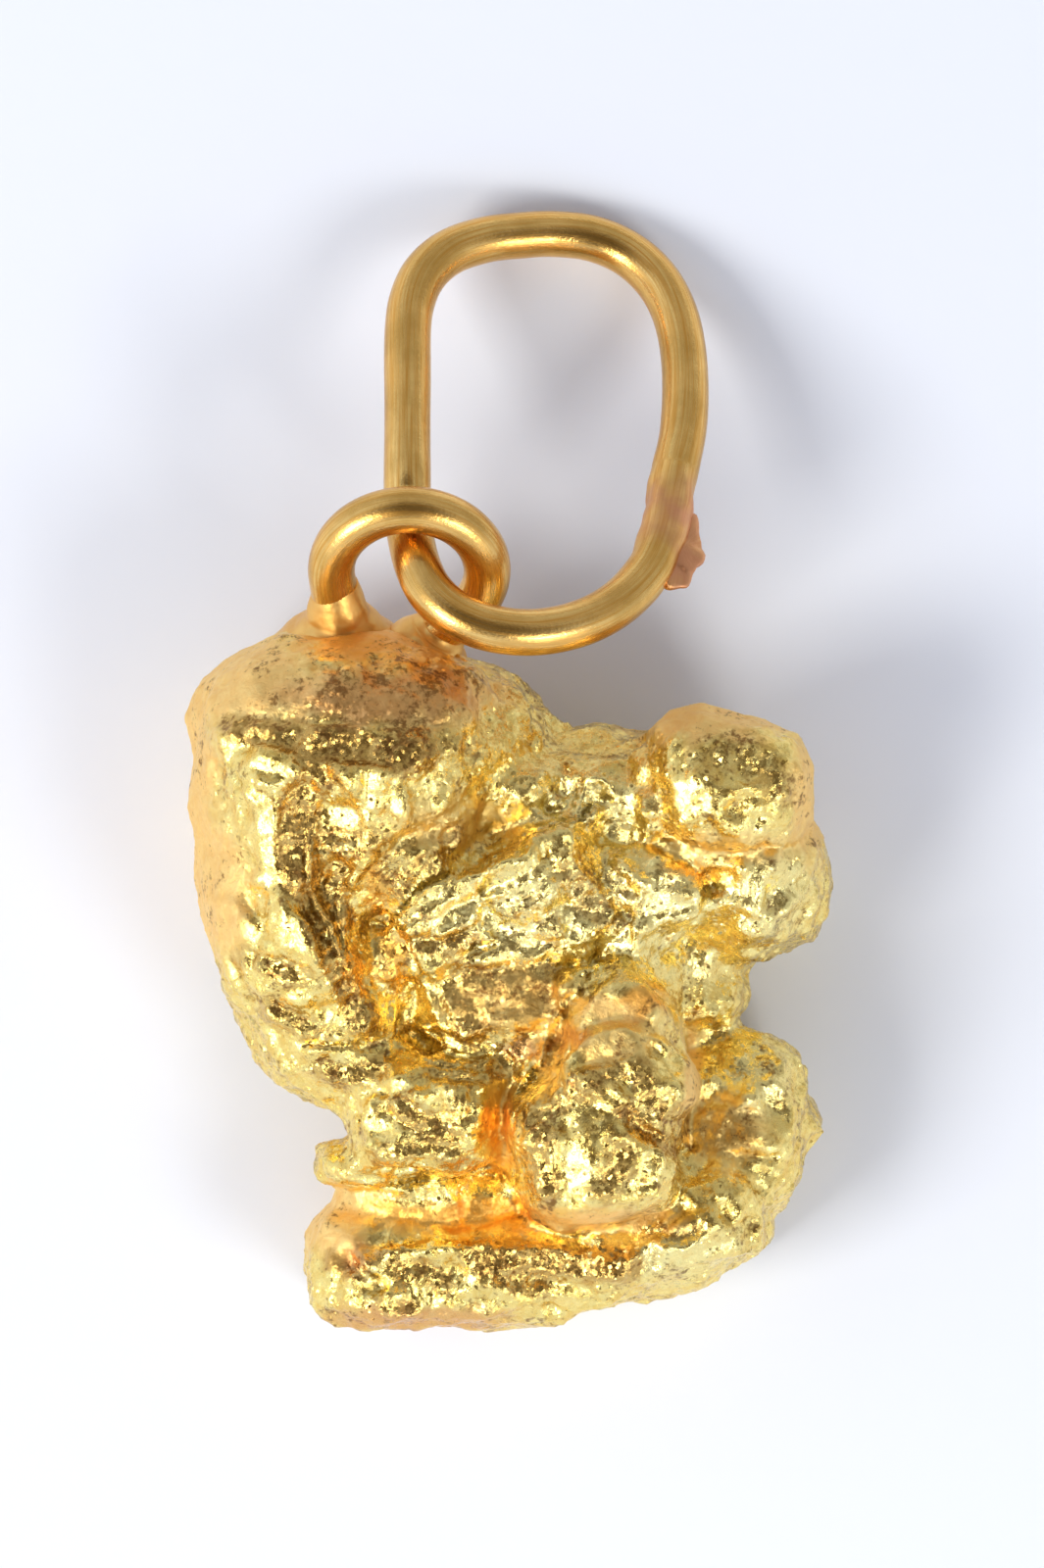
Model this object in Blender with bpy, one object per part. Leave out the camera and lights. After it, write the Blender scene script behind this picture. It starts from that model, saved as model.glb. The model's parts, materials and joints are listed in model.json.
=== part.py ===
"""Gold nugget pendant: a crumpled natural nugget, a wire eye soldered on its shoulder, and a loose link.

Metres, +Z up. The pendant lies on the plane Z = 0 with its longest side along Y, the link at +Y.
The rough metal is worked out in millimetres and brought to metres at the end.
"""
import math
from collections import namedtuple
from itertools import product

import bmesh
import bpy
import numpy as np
from mathutils import Euler, Matrix, Vector

MM = 0.001

# Wire: one gauge of round gold wire for the eye and the link
WIRE_RADIUS = 0.52
WIRE_SIDES = 12

# Eye: a ring arc whose two legs run straight on into the nugget
EYE_CENTRE = (-2.11, 4.36, 5.47)
EYE_RADIUS = 1.72
EYE_TILT = 40.0
EYE_ARC = (-48.0, 188.0)
EYE_ARC_STEPS = 22
EYE_LEG = 1.25

# Solder beads at the feet of the eye
SOLDER_LEFT = ((-3.72, 3.86, 5.05), (-3.68, 3.50, 4.76), (-3.66, 3.16, 4.50), (-3.66, 2.80, 4.25),
               (-3.66, 2.44, 4.00))
SOLDER_LEFT_RADII = (0.64, 0.72, 1.00, 1.40, 1.68)
SOLDER_RIGHT = ((-1.42, 3.06, 4.41), (-1.58, 2.84, 4.25), (-1.72, 2.56, 4.10))
SOLDER_RIGHT_RADII = (0.70, 0.86, 1.02)
SOLDER_SIDES = 14
SOLDER_STEPS = 7

# Link: points along the middle of its wire, anticlockwise from the left side as seen from above
LINK_ROUTE = (
    (-2.16, 6.60), (-2.16, 8.20), (-2.16, 9.75), (-2.04, 10.51), (-1.74, 11.10), (-1.20, 11.55),
    (-0.43, 11.82), (0.33, 11.92), (1.09, 11.96), (1.96, 11.86), (2.76, 11.51), (3.37, 10.95),
    (3.76, 10.25), (3.96, 9.42), (4.02, 8.45), (3.96, 7.47), (3.78, 6.60), (3.63, 5.84),
    (3.48, 5.08), (3.15, 4.32), (2.54, 3.66), (1.74, 3.21), (0.76, 2.99), (-0.22, 3.05),
    (-1.02, 3.34), (-1.59, 3.82), (-1.91, 4.42), (-2.09, 5.18), (-2.15, 5.95),
)
LINK_RINGS = 60
# The link leans from the eye down to the surface: height at its middle and slopes along X and Y
LINK_MIDDLE = (0.91, 7.47)
LINK_HEIGHT = 3.56
LINK_SLOPE = (-0.20, -0.645)
# Where it passes under the top of the eye the wire dips a little
LINK_DIP = 0.22
LINK_DIP_AT = (-2.12, 5.70)
LINK_DIP_REACH = 1.10

# Burr of solder on the link's seam, and the nub across from it
BURR_CENTRE = (3.84, 4.76, 4.72)
BURR_RADII = (0.52, 0.90, 0.19)
BURR_LEAN = (-33.0, 11.0, -17.0)
NUB_CENTRE = (3.28, 6.58, 3.62)
NUB_RADII = (0.26, 0.30, 0.22)

# Clearance left between solids that touch in the real object
CLEARANCE = 0.06

# Rough metal: cell sizes and the number of triangles kept
FUSE_CELL = 0.16
CREASED_CELL = 0.20
NUGGET_TRIANGLES = 6400
FLOOR_DEPTH = 4.0
NOISE_SEED = 7

# Each lump of the nugget: centre and half sizes in millimetres, turn about Z and lean about its own X in
# degrees, squareness
Lump = namedtuple("Lump", "name centre radii turn lean squareness")
LUMPS = (
    Lump("shoulder_core", (-3.50, -0.25, 3.80), (3.45, 3.35, 3.85), 0, 0, 2.6),
    Lump("shoulder_crown", (-3.00, 0.85, 4.30), (3.00, 2.15, 3.10), -4, 0, 2.3),
    Lump("shoulder_back", (-4.90, 1.20, 3.60), (2.20, 1.75, 2.40), 22, 0, 2.2),
    Lump("shoulder_flank", (-4.65, -3.20, 4.00), (2.00, 3.25, 3.10), 14, 0, 2.4),
    Lump("shoulder_hem", (-3.80, -5.60, 3.80), (1.75, 1.75, 2.60), 35, 0, 2.3),
    Lump("shoulder_right", (-1.10, 0.55, 3.50), (2.05, 1.90, 2.50), -15, 0, 2.3),
    Lump("bridge", (1.60, -0.85, 2.90), (2.70, 1.85, 2.10), -5, 0, 2.3),
    Lump("upper_knob", (4.80, -0.45, 4.60), (2.00, 1.70, 2.15), -14, 0, 2.8),
    Lump("upper_knob_side", (3.70, 0.05, 3.70), (1.25, 0.95, 1.70), 10, 0, 2.4),
    Lump("right_body", (5.35, -2.45, 2.70), (1.75, 1.85, 2.85), -20, 0, 2.3),
    Lump("right_edge", (6.05, -3.10, 2.70), (1.10, 0.90, 1.60), 0, 0, 2.3),
    Lump("central_plate", (-0.30, -2.70, 4.60), (2.55, 1.00, 2.05), 29, 14, 3.6),
    Lump("central_face", (0.55, -3.30, 4.00), (2.55, 1.35, 2.35), 22, 8, 2.8),
    Lump("central_right", (2.95, -2.55, 3.80), (1.80, 1.50, 2.20), 10, 0, 2.4),
    Lump("central_lower", (0.10, -5.05, 3.90), (2.10, 1.45, 2.20), 8, 0, 3.0),
    Lump("tongue", (2.50, -5.85, 5.10), (1.35, 1.30, 2.20), 22, -24, 2.9),
    Lump("crevice_floor", (0.80, -6.50, 3.30), (1.10, 1.30, 1.90), 0, 0, 2.4),
    Lump("tongue_root", (2.80, -4.60, 3.00), (1.50, 1.30, 2.00), 35, 0, 2.2),
    Lump("waist_right", (3.90, -4.75, 2.50), (1.45, 1.60, 1.60), 0, 0, 2.2),
    Lump("core", (-0.30, -3.60, 2.90), (4.30, 3.70, 2.70), 0, 0, 2.2),
    Lump("front_knob", (1.95, -8.45, 5.65), (1.72, 1.60, 2.22), 10, -3, 4.0),
    Lump("front_knob_top", (2.65, -7.05, 5.60), (1.50, 1.35, 2.25), -36, 4, 4.0),
    Lump("front_base", (1.90, -7.60, 3.90), (2.15, 2.50, 2.90), -15, 0, 2.4),
    Lump("arm", (-1.55, -7.65, 4.40), (1.85, 1.40, 2.15), 0, 0, 3.0),
    Lump("arm_upper", (-2.90, -6.75, 4.20), (1.60, 0.88, 2.00), -8, 0, 2.6),
    Lump("arm_tip", (-2.40, -8.75, 3.80), (1.80, 0.56, 1.60), 0, 0, 2.6),
    Lump("foot_band", (-1.20, -11.05, 2.60), (3.15, 1.34, 2.45), 0, 0, 4.2),
    Lump("foot_left", (-3.00, -10.90, 2.25), (1.30, 1.42, 2.40), 10, 0, 2.3),
    Lump("foot_right", (3.05, -10.25, 2.60), (2.85, 1.46, 2.60), 14, 0, 3.4),
    Lump("lower_right", (5.00, -8.10, 2.40), (1.70, 2.30, 2.00), -10, 0, 2.3),
    Lump("lower_right_tip", (6.00, -7.55, 2.30), (0.90, 1.25, 1.30), 20, 0, 2.2),
    Lump("trough_floor", (0.10, -0.80, 3.70), (1.60, 1.20, 2.30), 20, 0, 2.3),
    Lump("bridge_top", (2.00, -0.60, 3.40), (1.70, 1.10, 2.20), 0, 0, 2.3),
    Lump("right_fill", (2.50, -3.60, 3.80), (1.20, 1.40, 2.25), 0, 0, 2.3),
    Lump("left_fill", (-2.75, -3.50, 3.60), (1.00, 1.80, 2.60), 10, 0, 2.3),
    Lump("pool_floor", (-1.50, -9.70, 3.00), (2.30, 0.90, 2.05), 0, 0, 2.3),
    Lump("lower_core", (1.00, -8.60, 2.60), (3.90, 2.70, 2.10), 0, 0, 2.3),
)

# Each crease of the upper side: positive height is a ridge, negative a crevice; reach is its half width
Crease = namedtuple("Crease", "name height reach points")
CREASES = (
    Crease("crown_ridge", 0.30, 0.75, ((-6.3, 0.80), (-5.5, 0.40), (-4.6, 0.05), (-3.6, -0.10), (-2.4, 0.05),
                                       (-1.4, 0.30), (-0.4, 0.45))),
    Crease("flank_ridge", 0.50, 0.80, ((-5.5, -0.15), (-5.1, -1.45), (-4.9, -2.55), (-4.4, -3.85), (-3.9, -4.7))),
    Crease("flank_hollow", -0.20, 0.80, ((-4.1, -0.6), (-4.0, -2.0), (-3.6, -3.4), (-3.2, -4.6))),
    Crease("side_crevice", -0.12, 0.50, ((-2.4, -1.9), (-2.7, -2.6), (-2.9, -3.6), (-2.9, -4.7), (-2.5, -5.4))),
    Crease("trough", -0.28, 1.00, ((-2.3, -2.0), (-1.5, -1.6), (-0.6, -1.3), (0.3, -1.1))),
    Crease("plate_edge", 0.30, 0.45, ((-2.4, -3.2), (-1.6, -2.5), (-0.2, -1.95), (0.75, -1.3), (1.8, -1.0))),
    Crease("plate_fold", 0.20, 0.40, ((-0.8, -4.2), (0.3, -4.0), (1.2, -3.5))),
    Crease("plate_crevice", -0.26, 0.48, ((1.9, -1.9), (2.4, -2.6), (2.6, -3.4), (2.0, -4.4), (1.5, -5.4),
                                          (0.95, -6.4), (0.55, -7.0))),
    Crease("knob_fold", -0.20, 0.35, ((2.5, -7.45), (3.1, -7.95), (3.7, -8.35))),
    Crease("knob_step", 0.16, 0.35, ((1.1, -6.6), (1.7, -6.75), (2.4, -7.25), (3.2, -7.75))),
    Crease("knob_cleft", -0.50, 0.50, ((0.0, -7.0), (-0.05, -8.0), (-0.1, -9.0))),
    Crease("foot_pool", -0.24, 0.75, ((-3.2, -9.9), (-1.8, -10.0), (-0.3, -9.9), (1.0, -10.0), (2.3, -10.3))),
    Crease("foot_gap", -0.16, 0.50, ((2.6, -10.2), (3.6, -9.7), (4.3, -8.9))),
    Crease("arm_crease", -0.20, 0.45, ((-2.9, -6.1), (-1.6, -6.1), (-0.3, -6.3))),
    Crease("arm_streak", 0.28, 0.34, ((-1.8, -5.65), (-0.9, -6.2))),
    Crease("knob_ledge", -0.40, 0.45, ((3.6, -1.5), (4.9, -1.85), (6.2, -1.7), (6.9, -1.4))),
    Crease("knob_side", -0.35, 0.45, ((3.1, 0.5), (3.2, -0.4), (3.6, -1.3))),
    Crease("foot_ridge", 0.18, 0.40, ((-2.5, -10.75), (-1.0, -10.65), (1.0, -10.8), (2.7, -11.0), (4.0, -10.4),
                                      (5.3, -9.4))),
)

# Chains of small faces that look straight up, as lines seen from above with a half width
Strip = namedtuple("Strip", "name reach points")
STRIPS = (
    Strip("band_left", 0.26, ((-5.95, 0.92), (-5.20, 0.72), (-4.60, 0.60))),
    Strip("band", 0.36, ((-4.30, 0.52), (-3.20, 0.45), (-2.40, 0.32), (-1.80, 0.34))),
    Strip("band_right", 0.20, ((-1.70, 0.42), (-1.10, 0.52), (-0.70, 0.48))),
    Strip("roof_top", 0.34, ((-4.05, 0.00), (-4.30, -0.45), (-4.55, -0.90))),
    Strip("roof", 0.42, ((-4.55, -1.00), (-4.58, -1.80), (-4.48, -2.50))),
    Strip("roof_low", 0.28, ((-4.22, -3.00), (-3.98, -3.70), (-3.70, -4.40), (-3.35, -5.10), (-3.05, -5.70))),
    Strip("flank", 0.24, ((-5.70, -4.20), (-5.10, -4.35), (-4.55, -4.60))),
    Strip("flank_low", 0.24, ((-5.20, -5.35), (-4.60, -5.55), (-4.05, -6.00))),
    Strip("second", 0.24, ((-3.55, -2.15), (-3.75, -2.75), (-3.62, -3.40))),
    Strip("trough_west", 0.30, ((-2.30, -1.85), (-1.70, -1.55), (-1.00, -1.55))),
    Strip("middle", 0.26, ((-3.90, -1.55), (-3.30, -1.75), (-2.80, -1.50))),
    Strip("side", 0.22, ((-2.35, -2.65), (-1.95, -2.25), (-1.45, -2.05))),
    Strip("plate_under", 0.20, ((-1.95, -3.95), (-1.35, -3.95), (-0.75, -3.75))),
    Strip("plate_middle", 0.18, ((-0.10, -3.15), (0.70, -2.85))),
    Strip("dull_top", 0.32, ((-0.90, -4.65), (0.00, -4.75), (0.90, -4.60))),
    Strip("dull_left", 0.34, ((-0.95, -5.10), (-0.70, -5.80))),
    Strip("dull_right", 0.36, ((0.50, -5.25), (1.05, -5.10))),
    Strip("dull_low", 0.26, ((-1.60, -6.60), (-0.90, -6.75), (0.10, -6.60), (0.60, -5.90))),
    Strip("cross_fold", 0.28, ((1.35, -2.20), (1.80, -2.90), (2.30, -3.35))),
    Strip("cross_side", 0.22, ((2.45, -2.40), (2.80, -2.95))),
    Strip("cross_fold_low", 0.20, ((1.05, -3.35), (1.00, -3.75))),
    Strip("knob", 0.42, ((4.55, 0.25), (5.20, 0.35), (5.60, 0.05))),
    Strip("knob_right", 0.24, ((5.85, -0.25), (6.15, -0.60))),
    Strip("front_west", 0.26, ((0.55, -7.65), (0.85, -8.15))),
    Strip("front_low", 0.28, ((2.20, -9.20), (2.55, -8.85), (2.60, -8.35))),
    Strip("front_west_low", 0.26, ((0.60, -8.60), (0.95, -9.35))),
    Strip("front_line", 0.16, ((2.60, -7.50), (3.10, -7.95), (3.70, -8.40))),
    Strip("front_back", 0.28, ((1.15, -7.35), (1.75, -7.00), (2.50, -6.55))),
    Strip("front_right", 0.28, ((2.95, -6.60), (3.20, -7.20), (3.70, -7.60))),
    Strip("arm_top", 0.26, ((-3.90, -6.70), (-3.20, -6.85), (-2.80, -6.60))),
    Strip("arm", 0.26, ((-2.30, -7.45), (-1.75, -7.80), (-1.20, -8.10))),
    Strip("arm_low", 0.22, ((-2.75, -8.55), (-2.00, -8.35), (-1.00, -8.55))),
    Strip("foot_back", 0.34, ((-0.60, -10.80), (0.50, -10.90), (1.50, -10.95), (2.70, -11.00))),
    Strip("foot_corner", 0.26, ((-3.80, -10.90), (-3.40, -10.98))),
    Strip("foot_left", 0.22, ((-2.45, -10.75), (-2.15, -11.20))),
    Strip("foot_mid", 0.22, ((-1.75, -11.05), (-1.30, -11.55))),
    Strip("foot_front", 0.24, ((0.20, -11.30), (0.95, -11.50))),
    Strip("foot_rim", 0.20, ((-2.70, -11.95), (-1.90, -12.00))),
    Strip("lower", 0.42, ((4.30, -7.95), (5.10, -8.20))),
    Strip("lower_gap", 0.28, ((2.80, -10.00), (3.90, -10.10))),
)

# Flat faces beaten on the skin, as ellipses seen from above: which way each one falls, as rise to the right
# and rise to the back, is what makes it flash or stay dark
Face = namedtuple("Face", "name centre radii turn rise")
LIT = (0.36, 0.18)
LIT_RIGHT = (-0.25, 0.28)
DARK = (-0.05, -0.12)
FACE_DEPTH = 0.34
FACES = (
    Face("corner_1", (-5.95, 0.40), (0.55, 0.38), -25, LIT),
    Face("corner_2", (-5.15, 0.02), (0.70, 0.25), -10, LIT),
    Face("corner_3", (-6.45, -0.10), (0.22, 0.32), 10, LIT),
    Face("roof_left", (-5.22, -1.60), (0.24, 1.05), 4, LIT),
    Face("corner_4", (-5.50, -0.60), (0.30, 0.20), -20, LIT),
    Face("corner_5", (-4.75, -0.12), (0.32, 0.16), -30, LIT),
    Face("middle_1", (-3.50, -1.15), (0.40, 0.32), -20, LIT),
    Face("middle_2", (-2.90, -0.50), (0.24, 0.50), 10, LIT),
    Face("middle_3", (-2.35, -0.70), (0.24, 0.50), 18, LIT),
    Face("flank_1", (-4.70, -3.60), (0.80, 0.34), -45, LIT),
    Face("flank_5", (-5.25, -2.45), (0.28, 0.26), 0, LIT),
    Face("flank_2", (-5.60, -3.60), (0.25, 0.42), 25, LIT),
    Face("flank_3", (-6.00, -4.60), (0.22, 0.50), 20, (0.45, 0.10)),
    Face("flank_4", (-4.60, -5.00), (0.34, 0.20), -20, LIT),
    Face("flank_6", (-5.30, -4.80), (0.28, 0.20), 0, LIT),
    Face("flank_7", (-3.90, -5.45), (0.24, 0.24), 0, LIT),
    Face("flank_8", (-4.30, -6.20), (0.30, 0.18), 0, LIT),
    Face("plate_1", (-1.20, -3.10), (1.05, 0.26), 30, LIT_RIGHT),
    Face("plate_2", (0.10, -2.35), (0.70, 0.24), 32, LIT),
    Face("plate_3", (0.58, -2.20), (0.18, 0.60), -8, LIT),
    Face("plate_6", (0.10, -4.05), (0.90, 0.22), 16, LIT_RIGHT),
    Face("streak", (-1.35, -5.98), (0.62, 0.14), -30, LIT),
    Face("under_plate", (-1.70, -4.80), (0.16, 0.30), 0, LIT),
    Face("right_1", (3.40, -3.00), (0.55, 0.25), 0, LIT_RIGHT),
    Face("right_2", (1.60, -3.55), (0.22, 0.20), 0, LIT),
    Face("right_3", (2.70, -3.95), (0.28, 0.16), 0, LIT),
    Face("bridge_1", (2.05, -0.35), (0.28, 0.20), 0, LIT),
    Face("bridge_4", (2.65, -1.50), (0.40, 0.24), 0, LIT),
    Face("bridge_2", (2.80, -0.90), (0.22, 0.32), 0, LIT),
    Face("bridge_3", (1.05, -0.85), (0.26, 0.20), 0, LIT),
    Face("right_4", (5.50, -2.70), (0.22, 0.40), 10, LIT),
    Face("right_5", (5.45, -3.50), (0.35, 0.22), 0, LIT_RIGHT),
    Face("tongue", (2.55, -5.35), (1.10, 0.60), 14, (0.15, -0.06)),
    Face("knob_left", (4.15, -0.65), (0.52, 0.42), 0, LIT),
    Face("knob_mid", (5.25, -0.90), (0.42, 0.22), 10, LIT),
    Face("front_lit", (1.60, -8.70), (0.42, 0.62), 8, LIT),
    Face("front_tan", (2.20, -6.10), (0.85, 0.40), 20, (0.16, -0.02)),
    Face("front_top", (3.40, -6.15), (0.26, 0.20), -20, LIT),
    Face("front_glint", (2.40, -7.28), (0.20, 0.30), 30, LIT),
    Face("front_edge", (3.35, -8.60), (0.20, 0.18), 0, LIT),
    Face("front_strip", (2.10, -7.80), (0.80, 0.25), -30, (0.10, -0.10)),
    Face("arm_1", (-2.30, -7.00), (0.35, 0.20), 0, LIT),
    Face("arm_2", (-3.00, -7.85), (0.32, 0.16), 0, LIT),
    Face("arm_3", (-2.50, -8.60), (0.18, 0.48), -15, LIT),
    Face("arm_4", (-1.05, -7.60), (0.16, 0.50), -20, LIT),
    Face("arm_7", (-3.20, -9.10), (0.45, 0.18), 0, LIT_RIGHT),
    Face("foot_1", (-3.05, -11.40), (0.50, 0.22), -10, LIT_RIGHT),
    Face("foot_2", (-2.00, -11.40), (0.16, 0.32), 0, LIT),
    Face("foot_3", (-0.60, -11.20), (0.14, 0.34), 10, LIT),
    Face("foot_6", (1.60, -11.60), (0.40, 0.22), 10, LIT_RIGHT),
    Face("foot_7", (3.30, -11.00), (0.30, 0.36), 10, LIT),
    Face("foot_8", (4.00, -10.20), (0.35, 0.22), 20, LIT_RIGHT),
    Face("foot_9", (5.00, -9.80), (0.30, 0.30), 30, LIT),
    Face("lower_1", (4.00, -9.55), (0.26, 0.30), 0, LIT),
    Face("lower_2", (6.00, -7.30), (0.30, 0.45), 10, (-0.10, 0.20)),
)

# Patches worn smooth, as ellipses seen from above: calm ones fully, soft ones by half
Patch = namedtuple("Patch", "name kind centre radii")
PATCHES = (
    Patch("shoulder_top", "soft", (-2.7, 1.7), (2.1, 0.8)),
    Patch("shoulder_peach", "calm", (-5.8, 2.0), (1.5, 1.0)),
    Patch("shoulder_neck", "calm", (-2.9, 2.9), (1.8, 0.4)),
    Patch("left_flank", "calm", (-6.95, -0.8), (0.55, 3.6)),
    Patch("left_hem", "calm", (-6.3, -2.7), (0.65, 1.4)),
    Patch("tongue", "soft", (2.4, -5.65), (1.1, 0.70)),
    Patch("foot_left", "calm", (-3.8, -10.1), (0.7, 0.8)),
    Patch("knob_top", "calm", (4.6, 1.1), (1.8, 0.45)),
    Patch("knob_right", "calm", (6.75, -0.6), (0.45, 1.2)),
    Patch("knob_lower", "soft", (5.0, -1.75), (1.5, 0.25)),
    Patch("front_rim", "calm", (2.6, -9.95), (1.3, 0.22)),
    Patch("front_side", "calm", (4.15, -6.7), (0.22, 0.9)),
    Patch("trough_floor", "soft", (-0.9, -1.2), (1.3, 0.5)),
    Patch("pool_floor", "soft", (-0.6, -10.0), (2.5, 0.35)),
    Patch("crevice_floor", "soft", (1.0, -6.3), (0.35, 0.9)),
    Patch("cleft_floor", "soft", (-0.05, -8.0), (0.3, 0.9)),
)


def clear_scene():
    """Remove whatever objects the file opened with."""
    for obj in list(bpy.data.objects):
        bpy.data.objects.remove(obj)


def add_object(name, mesh):
    """Put a mesh in the scene as an object of its own."""
    obj = bpy.data.objects.new(name, mesh)
    bpy.context.scene.collection.objects.link(obj)
    return obj


def finish_metal(name, colour, roughness):
    """A plain gold-coloured metal."""
    material = bpy.data.materials.new(name)
    material.use_nodes = True
    shader = material.node_tree.nodes["Principled BSDF"]
    shader.inputs["Base Color"].default_value = (*colour, 1.0)
    shader.inputs["Metallic"].default_value = 1.0
    shader.inputs["Roughness"].default_value = roughness
    return material


def evaluated_mesh(obj):
    """A copy of an object's mesh with its modifiers worked out."""
    graph = bpy.context.evaluated_depsgraph_get()
    return bpy.data.meshes.new_from_object(obj.evaluated_get(graph))


def smooth_loop(points, samples, closed):
    """Points spread evenly along a Catmull-Rom curve through the given ones."""
    pts = [Vector(p) for p in points]
    count = len(pts)
    spans = count if closed else count - 1
    fine = []
    for span in range(spans):
        if closed:
            a, b, c, d = (pts[(span + k) % count] for k in (-1, 0, 1, 2))
        else:
            a, b, c, d = (pts[min(max(span + k, 0), count - 1)] for k in (-1, 0, 1, 2))
        for step in range(24):
            t = step / 24
            fine.append(0.5 * ((2 * b) + (c - a) * t + (2 * a - 5 * b + 4 * c - d) * t ** 2
                               + (3 * b - a - 3 * c + d) * t ** 3))
    fine.append(pts[0].copy() if closed else pts[-1].copy())
    lengths = [0.0]
    for one, two in zip(fine, fine[1:]):
        lengths.append(lengths[-1] + (two - one).length)
    targets = np.linspace(0.0, lengths[-1], samples + 1 if closed else samples)
    fine = np.array(fine)
    even = np.stack([np.interp(targets, lengths, fine[:, axis]) for axis in range(3)], axis=1)
    return [Vector(p) for p in (even[:-1] if closed else even)]


def wire_mesh(name, points, radii, sides, closed):
    """A round wire along the points, made with Blender's bevelled curve, in millimetres."""
    curve = bpy.data.curves.new(name, "CURVE")
    curve.dimensions = "3D"
    curve.bevel_depth = 1.0
    curve.bevel_resolution = (sides - 4) // 2
    curve.use_fill_caps = not closed
    spline = curve.splines.new("POLY")
    spline.points.add(len(points) - 1)
    for point, co, radius in zip(spline.points, points, radii):
        point.co = (*co, 1.0)
        point.radius = radius
    spline.use_cyclic_u = closed
    guide = add_object(name + "_guide", curve)
    mesh = evaluated_mesh(guide)
    bpy.data.objects.remove(guide)
    bm = bmesh.new()
    bm.from_mesh(mesh)
    bmesh.ops.remove_doubles(bm, verts=bm.verts, dist=1e-5)
    bmesh.ops.recalc_face_normals(bm, faces=bm.faces)
    bm.to_mesh(mesh)
    bm.free()
    return mesh


def lump_into(bm, centre, radii, turn, squareness, detail=4):
    """Add a rounded lump: a sphere of the given half sizes, squared off as squareness passes 2."""
    made = bmesh.ops.create_icosphere(bm, subdivisions=detail, radius=1.0)
    facing = Euler([math.radians(angle) for angle in turn]).to_matrix()
    for vert in made["verts"]:
        x, y, z = vert.co
        size = (abs(x) ** squareness + abs(y) ** squareness + abs(z) ** squareness) ** (1 / squareness)
        local = Vector((x * radii[0], y * radii[1], z * radii[2])) / size
        vert.co = facing @ local + Vector(centre)


def fused(name, mesh, cell):
    """Overlapping closed shapes fused into one skin of even square cells."""
    holder = add_object(name, mesh)
    skin = holder.modifiers.new("fuse", "REMESH")
    skin.mode = "VOXEL"
    skin.voxel_size = cell
    result = evaluated_mesh(holder)
    bpy.data.objects.remove(holder)
    return result


def mesh_points(mesh):
    """The mesh's points and their normals as arrays."""
    points = np.empty(len(mesh.vertices) * 3, np.float32)
    mesh.vertices.foreach_get("co", points)
    normals = np.empty(len(mesh.vertices) * 3, np.float32)
    mesh.vertex_normals.foreach_get("vector", normals)
    return points.reshape(-1, 3).astype(float), normals.reshape(-1, 3).astype(float)


def move_points(mesh, points):
    """Write an array of points back into the mesh."""
    mesh.vertices.foreach_set("co", points.astype(np.float32).ravel())
    mesh.update()


def lattice_noise(points, cell, seed):
    """Gradient noise, about -1 to 1: each cube corner has its own slope, blended smoothly between."""
    scaled = points / cell
    base = np.floor(scaled)
    part = scaled - base
    fade = part ** 3 * (part * (part * 6 - 15) + 10)
    total = np.zeros(len(points))
    for corner in product((0, 1), repeat=3):
        cube = (base + corner).astype(np.int64)
        mixed = (cube[:, 0] * 73856093) ^ (cube[:, 1] * 19349663) ^ (cube[:, 2] * 83492791) ^ (seed * 9176)
        weight = np.prod(np.where(corner, fade, 1 - fade), axis=1)
        for axis in range(3):
            mixed = (mixed * 1103515245 + 12345) & 0x7FFFFFFF
            slope = ((mixed >> 8) & 0xFFFF) / 32767.5 - 1.0
            total += weight * slope * (part[:, axis] - corner[axis])
    return total * 1.6


def crease_profile(points, crease):
    """1 on the crease's line falling straight to 0 at its reach, measured as seen from above."""
    nearest = np.full(len(points), np.inf)
    flat = points[:, :2]
    for start, end in zip(crease.points, crease.points[1:]):
        start = np.array(start)
        along = np.array(end) - start
        share = np.clip((flat - start) @ along / (along @ along), 0.0, 1.0)
        gap = np.linalg.norm(flat - start - share[:, None] * along, axis=1)
        nearest = np.minimum(nearest, gap)
    return np.clip(1.0 - nearest / crease.reach, 0.0, 1.0)


def crease_upper_side(mesh):
    """Press the crevices in and raise the ridges on the side that faces up."""
    points, normals = mesh_points(mesh)
    upper = np.clip((normals[:, 2] + 0.1) / 0.5, 0.0, 1.0)
    height = np.zeros(len(points))
    for crease in CREASES:
        profile = crease_profile(points, crease)
        if crease.height < 0:
            profile = profile * profile * (3 - 2 * profile)
        height += crease.height * profile
    points[:, 2] += upper * height
    move_points(mesh, points)


def patch_share(points, kind):
    """1 in the middle of a patch of that kind, 0 outside all of them, with a wandering edge."""
    wander = 0.30 * np.stack([lattice_noise(points, 0.55, NOISE_SEED + 60 + axis) for axis in range(2)], axis=1)
    share = np.zeros(len(points))
    for patch in PATCHES:
        if patch.kind == kind:
            away = (points[:, :2] + wander - np.array(patch.centre)) / np.array(patch.radii)
            share = np.maximum(share, np.clip(1.3 * (1.5 - np.linalg.norm(away, axis=1)), 0.0, 1.0))
    return share


def smooth_share(points):
    """How smooth the skin is: 1 in the calm patches, half of that in the soft ones."""
    return np.maximum(patch_share(points, "calm"), 0.5 * patch_share(points, "soft"))


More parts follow.
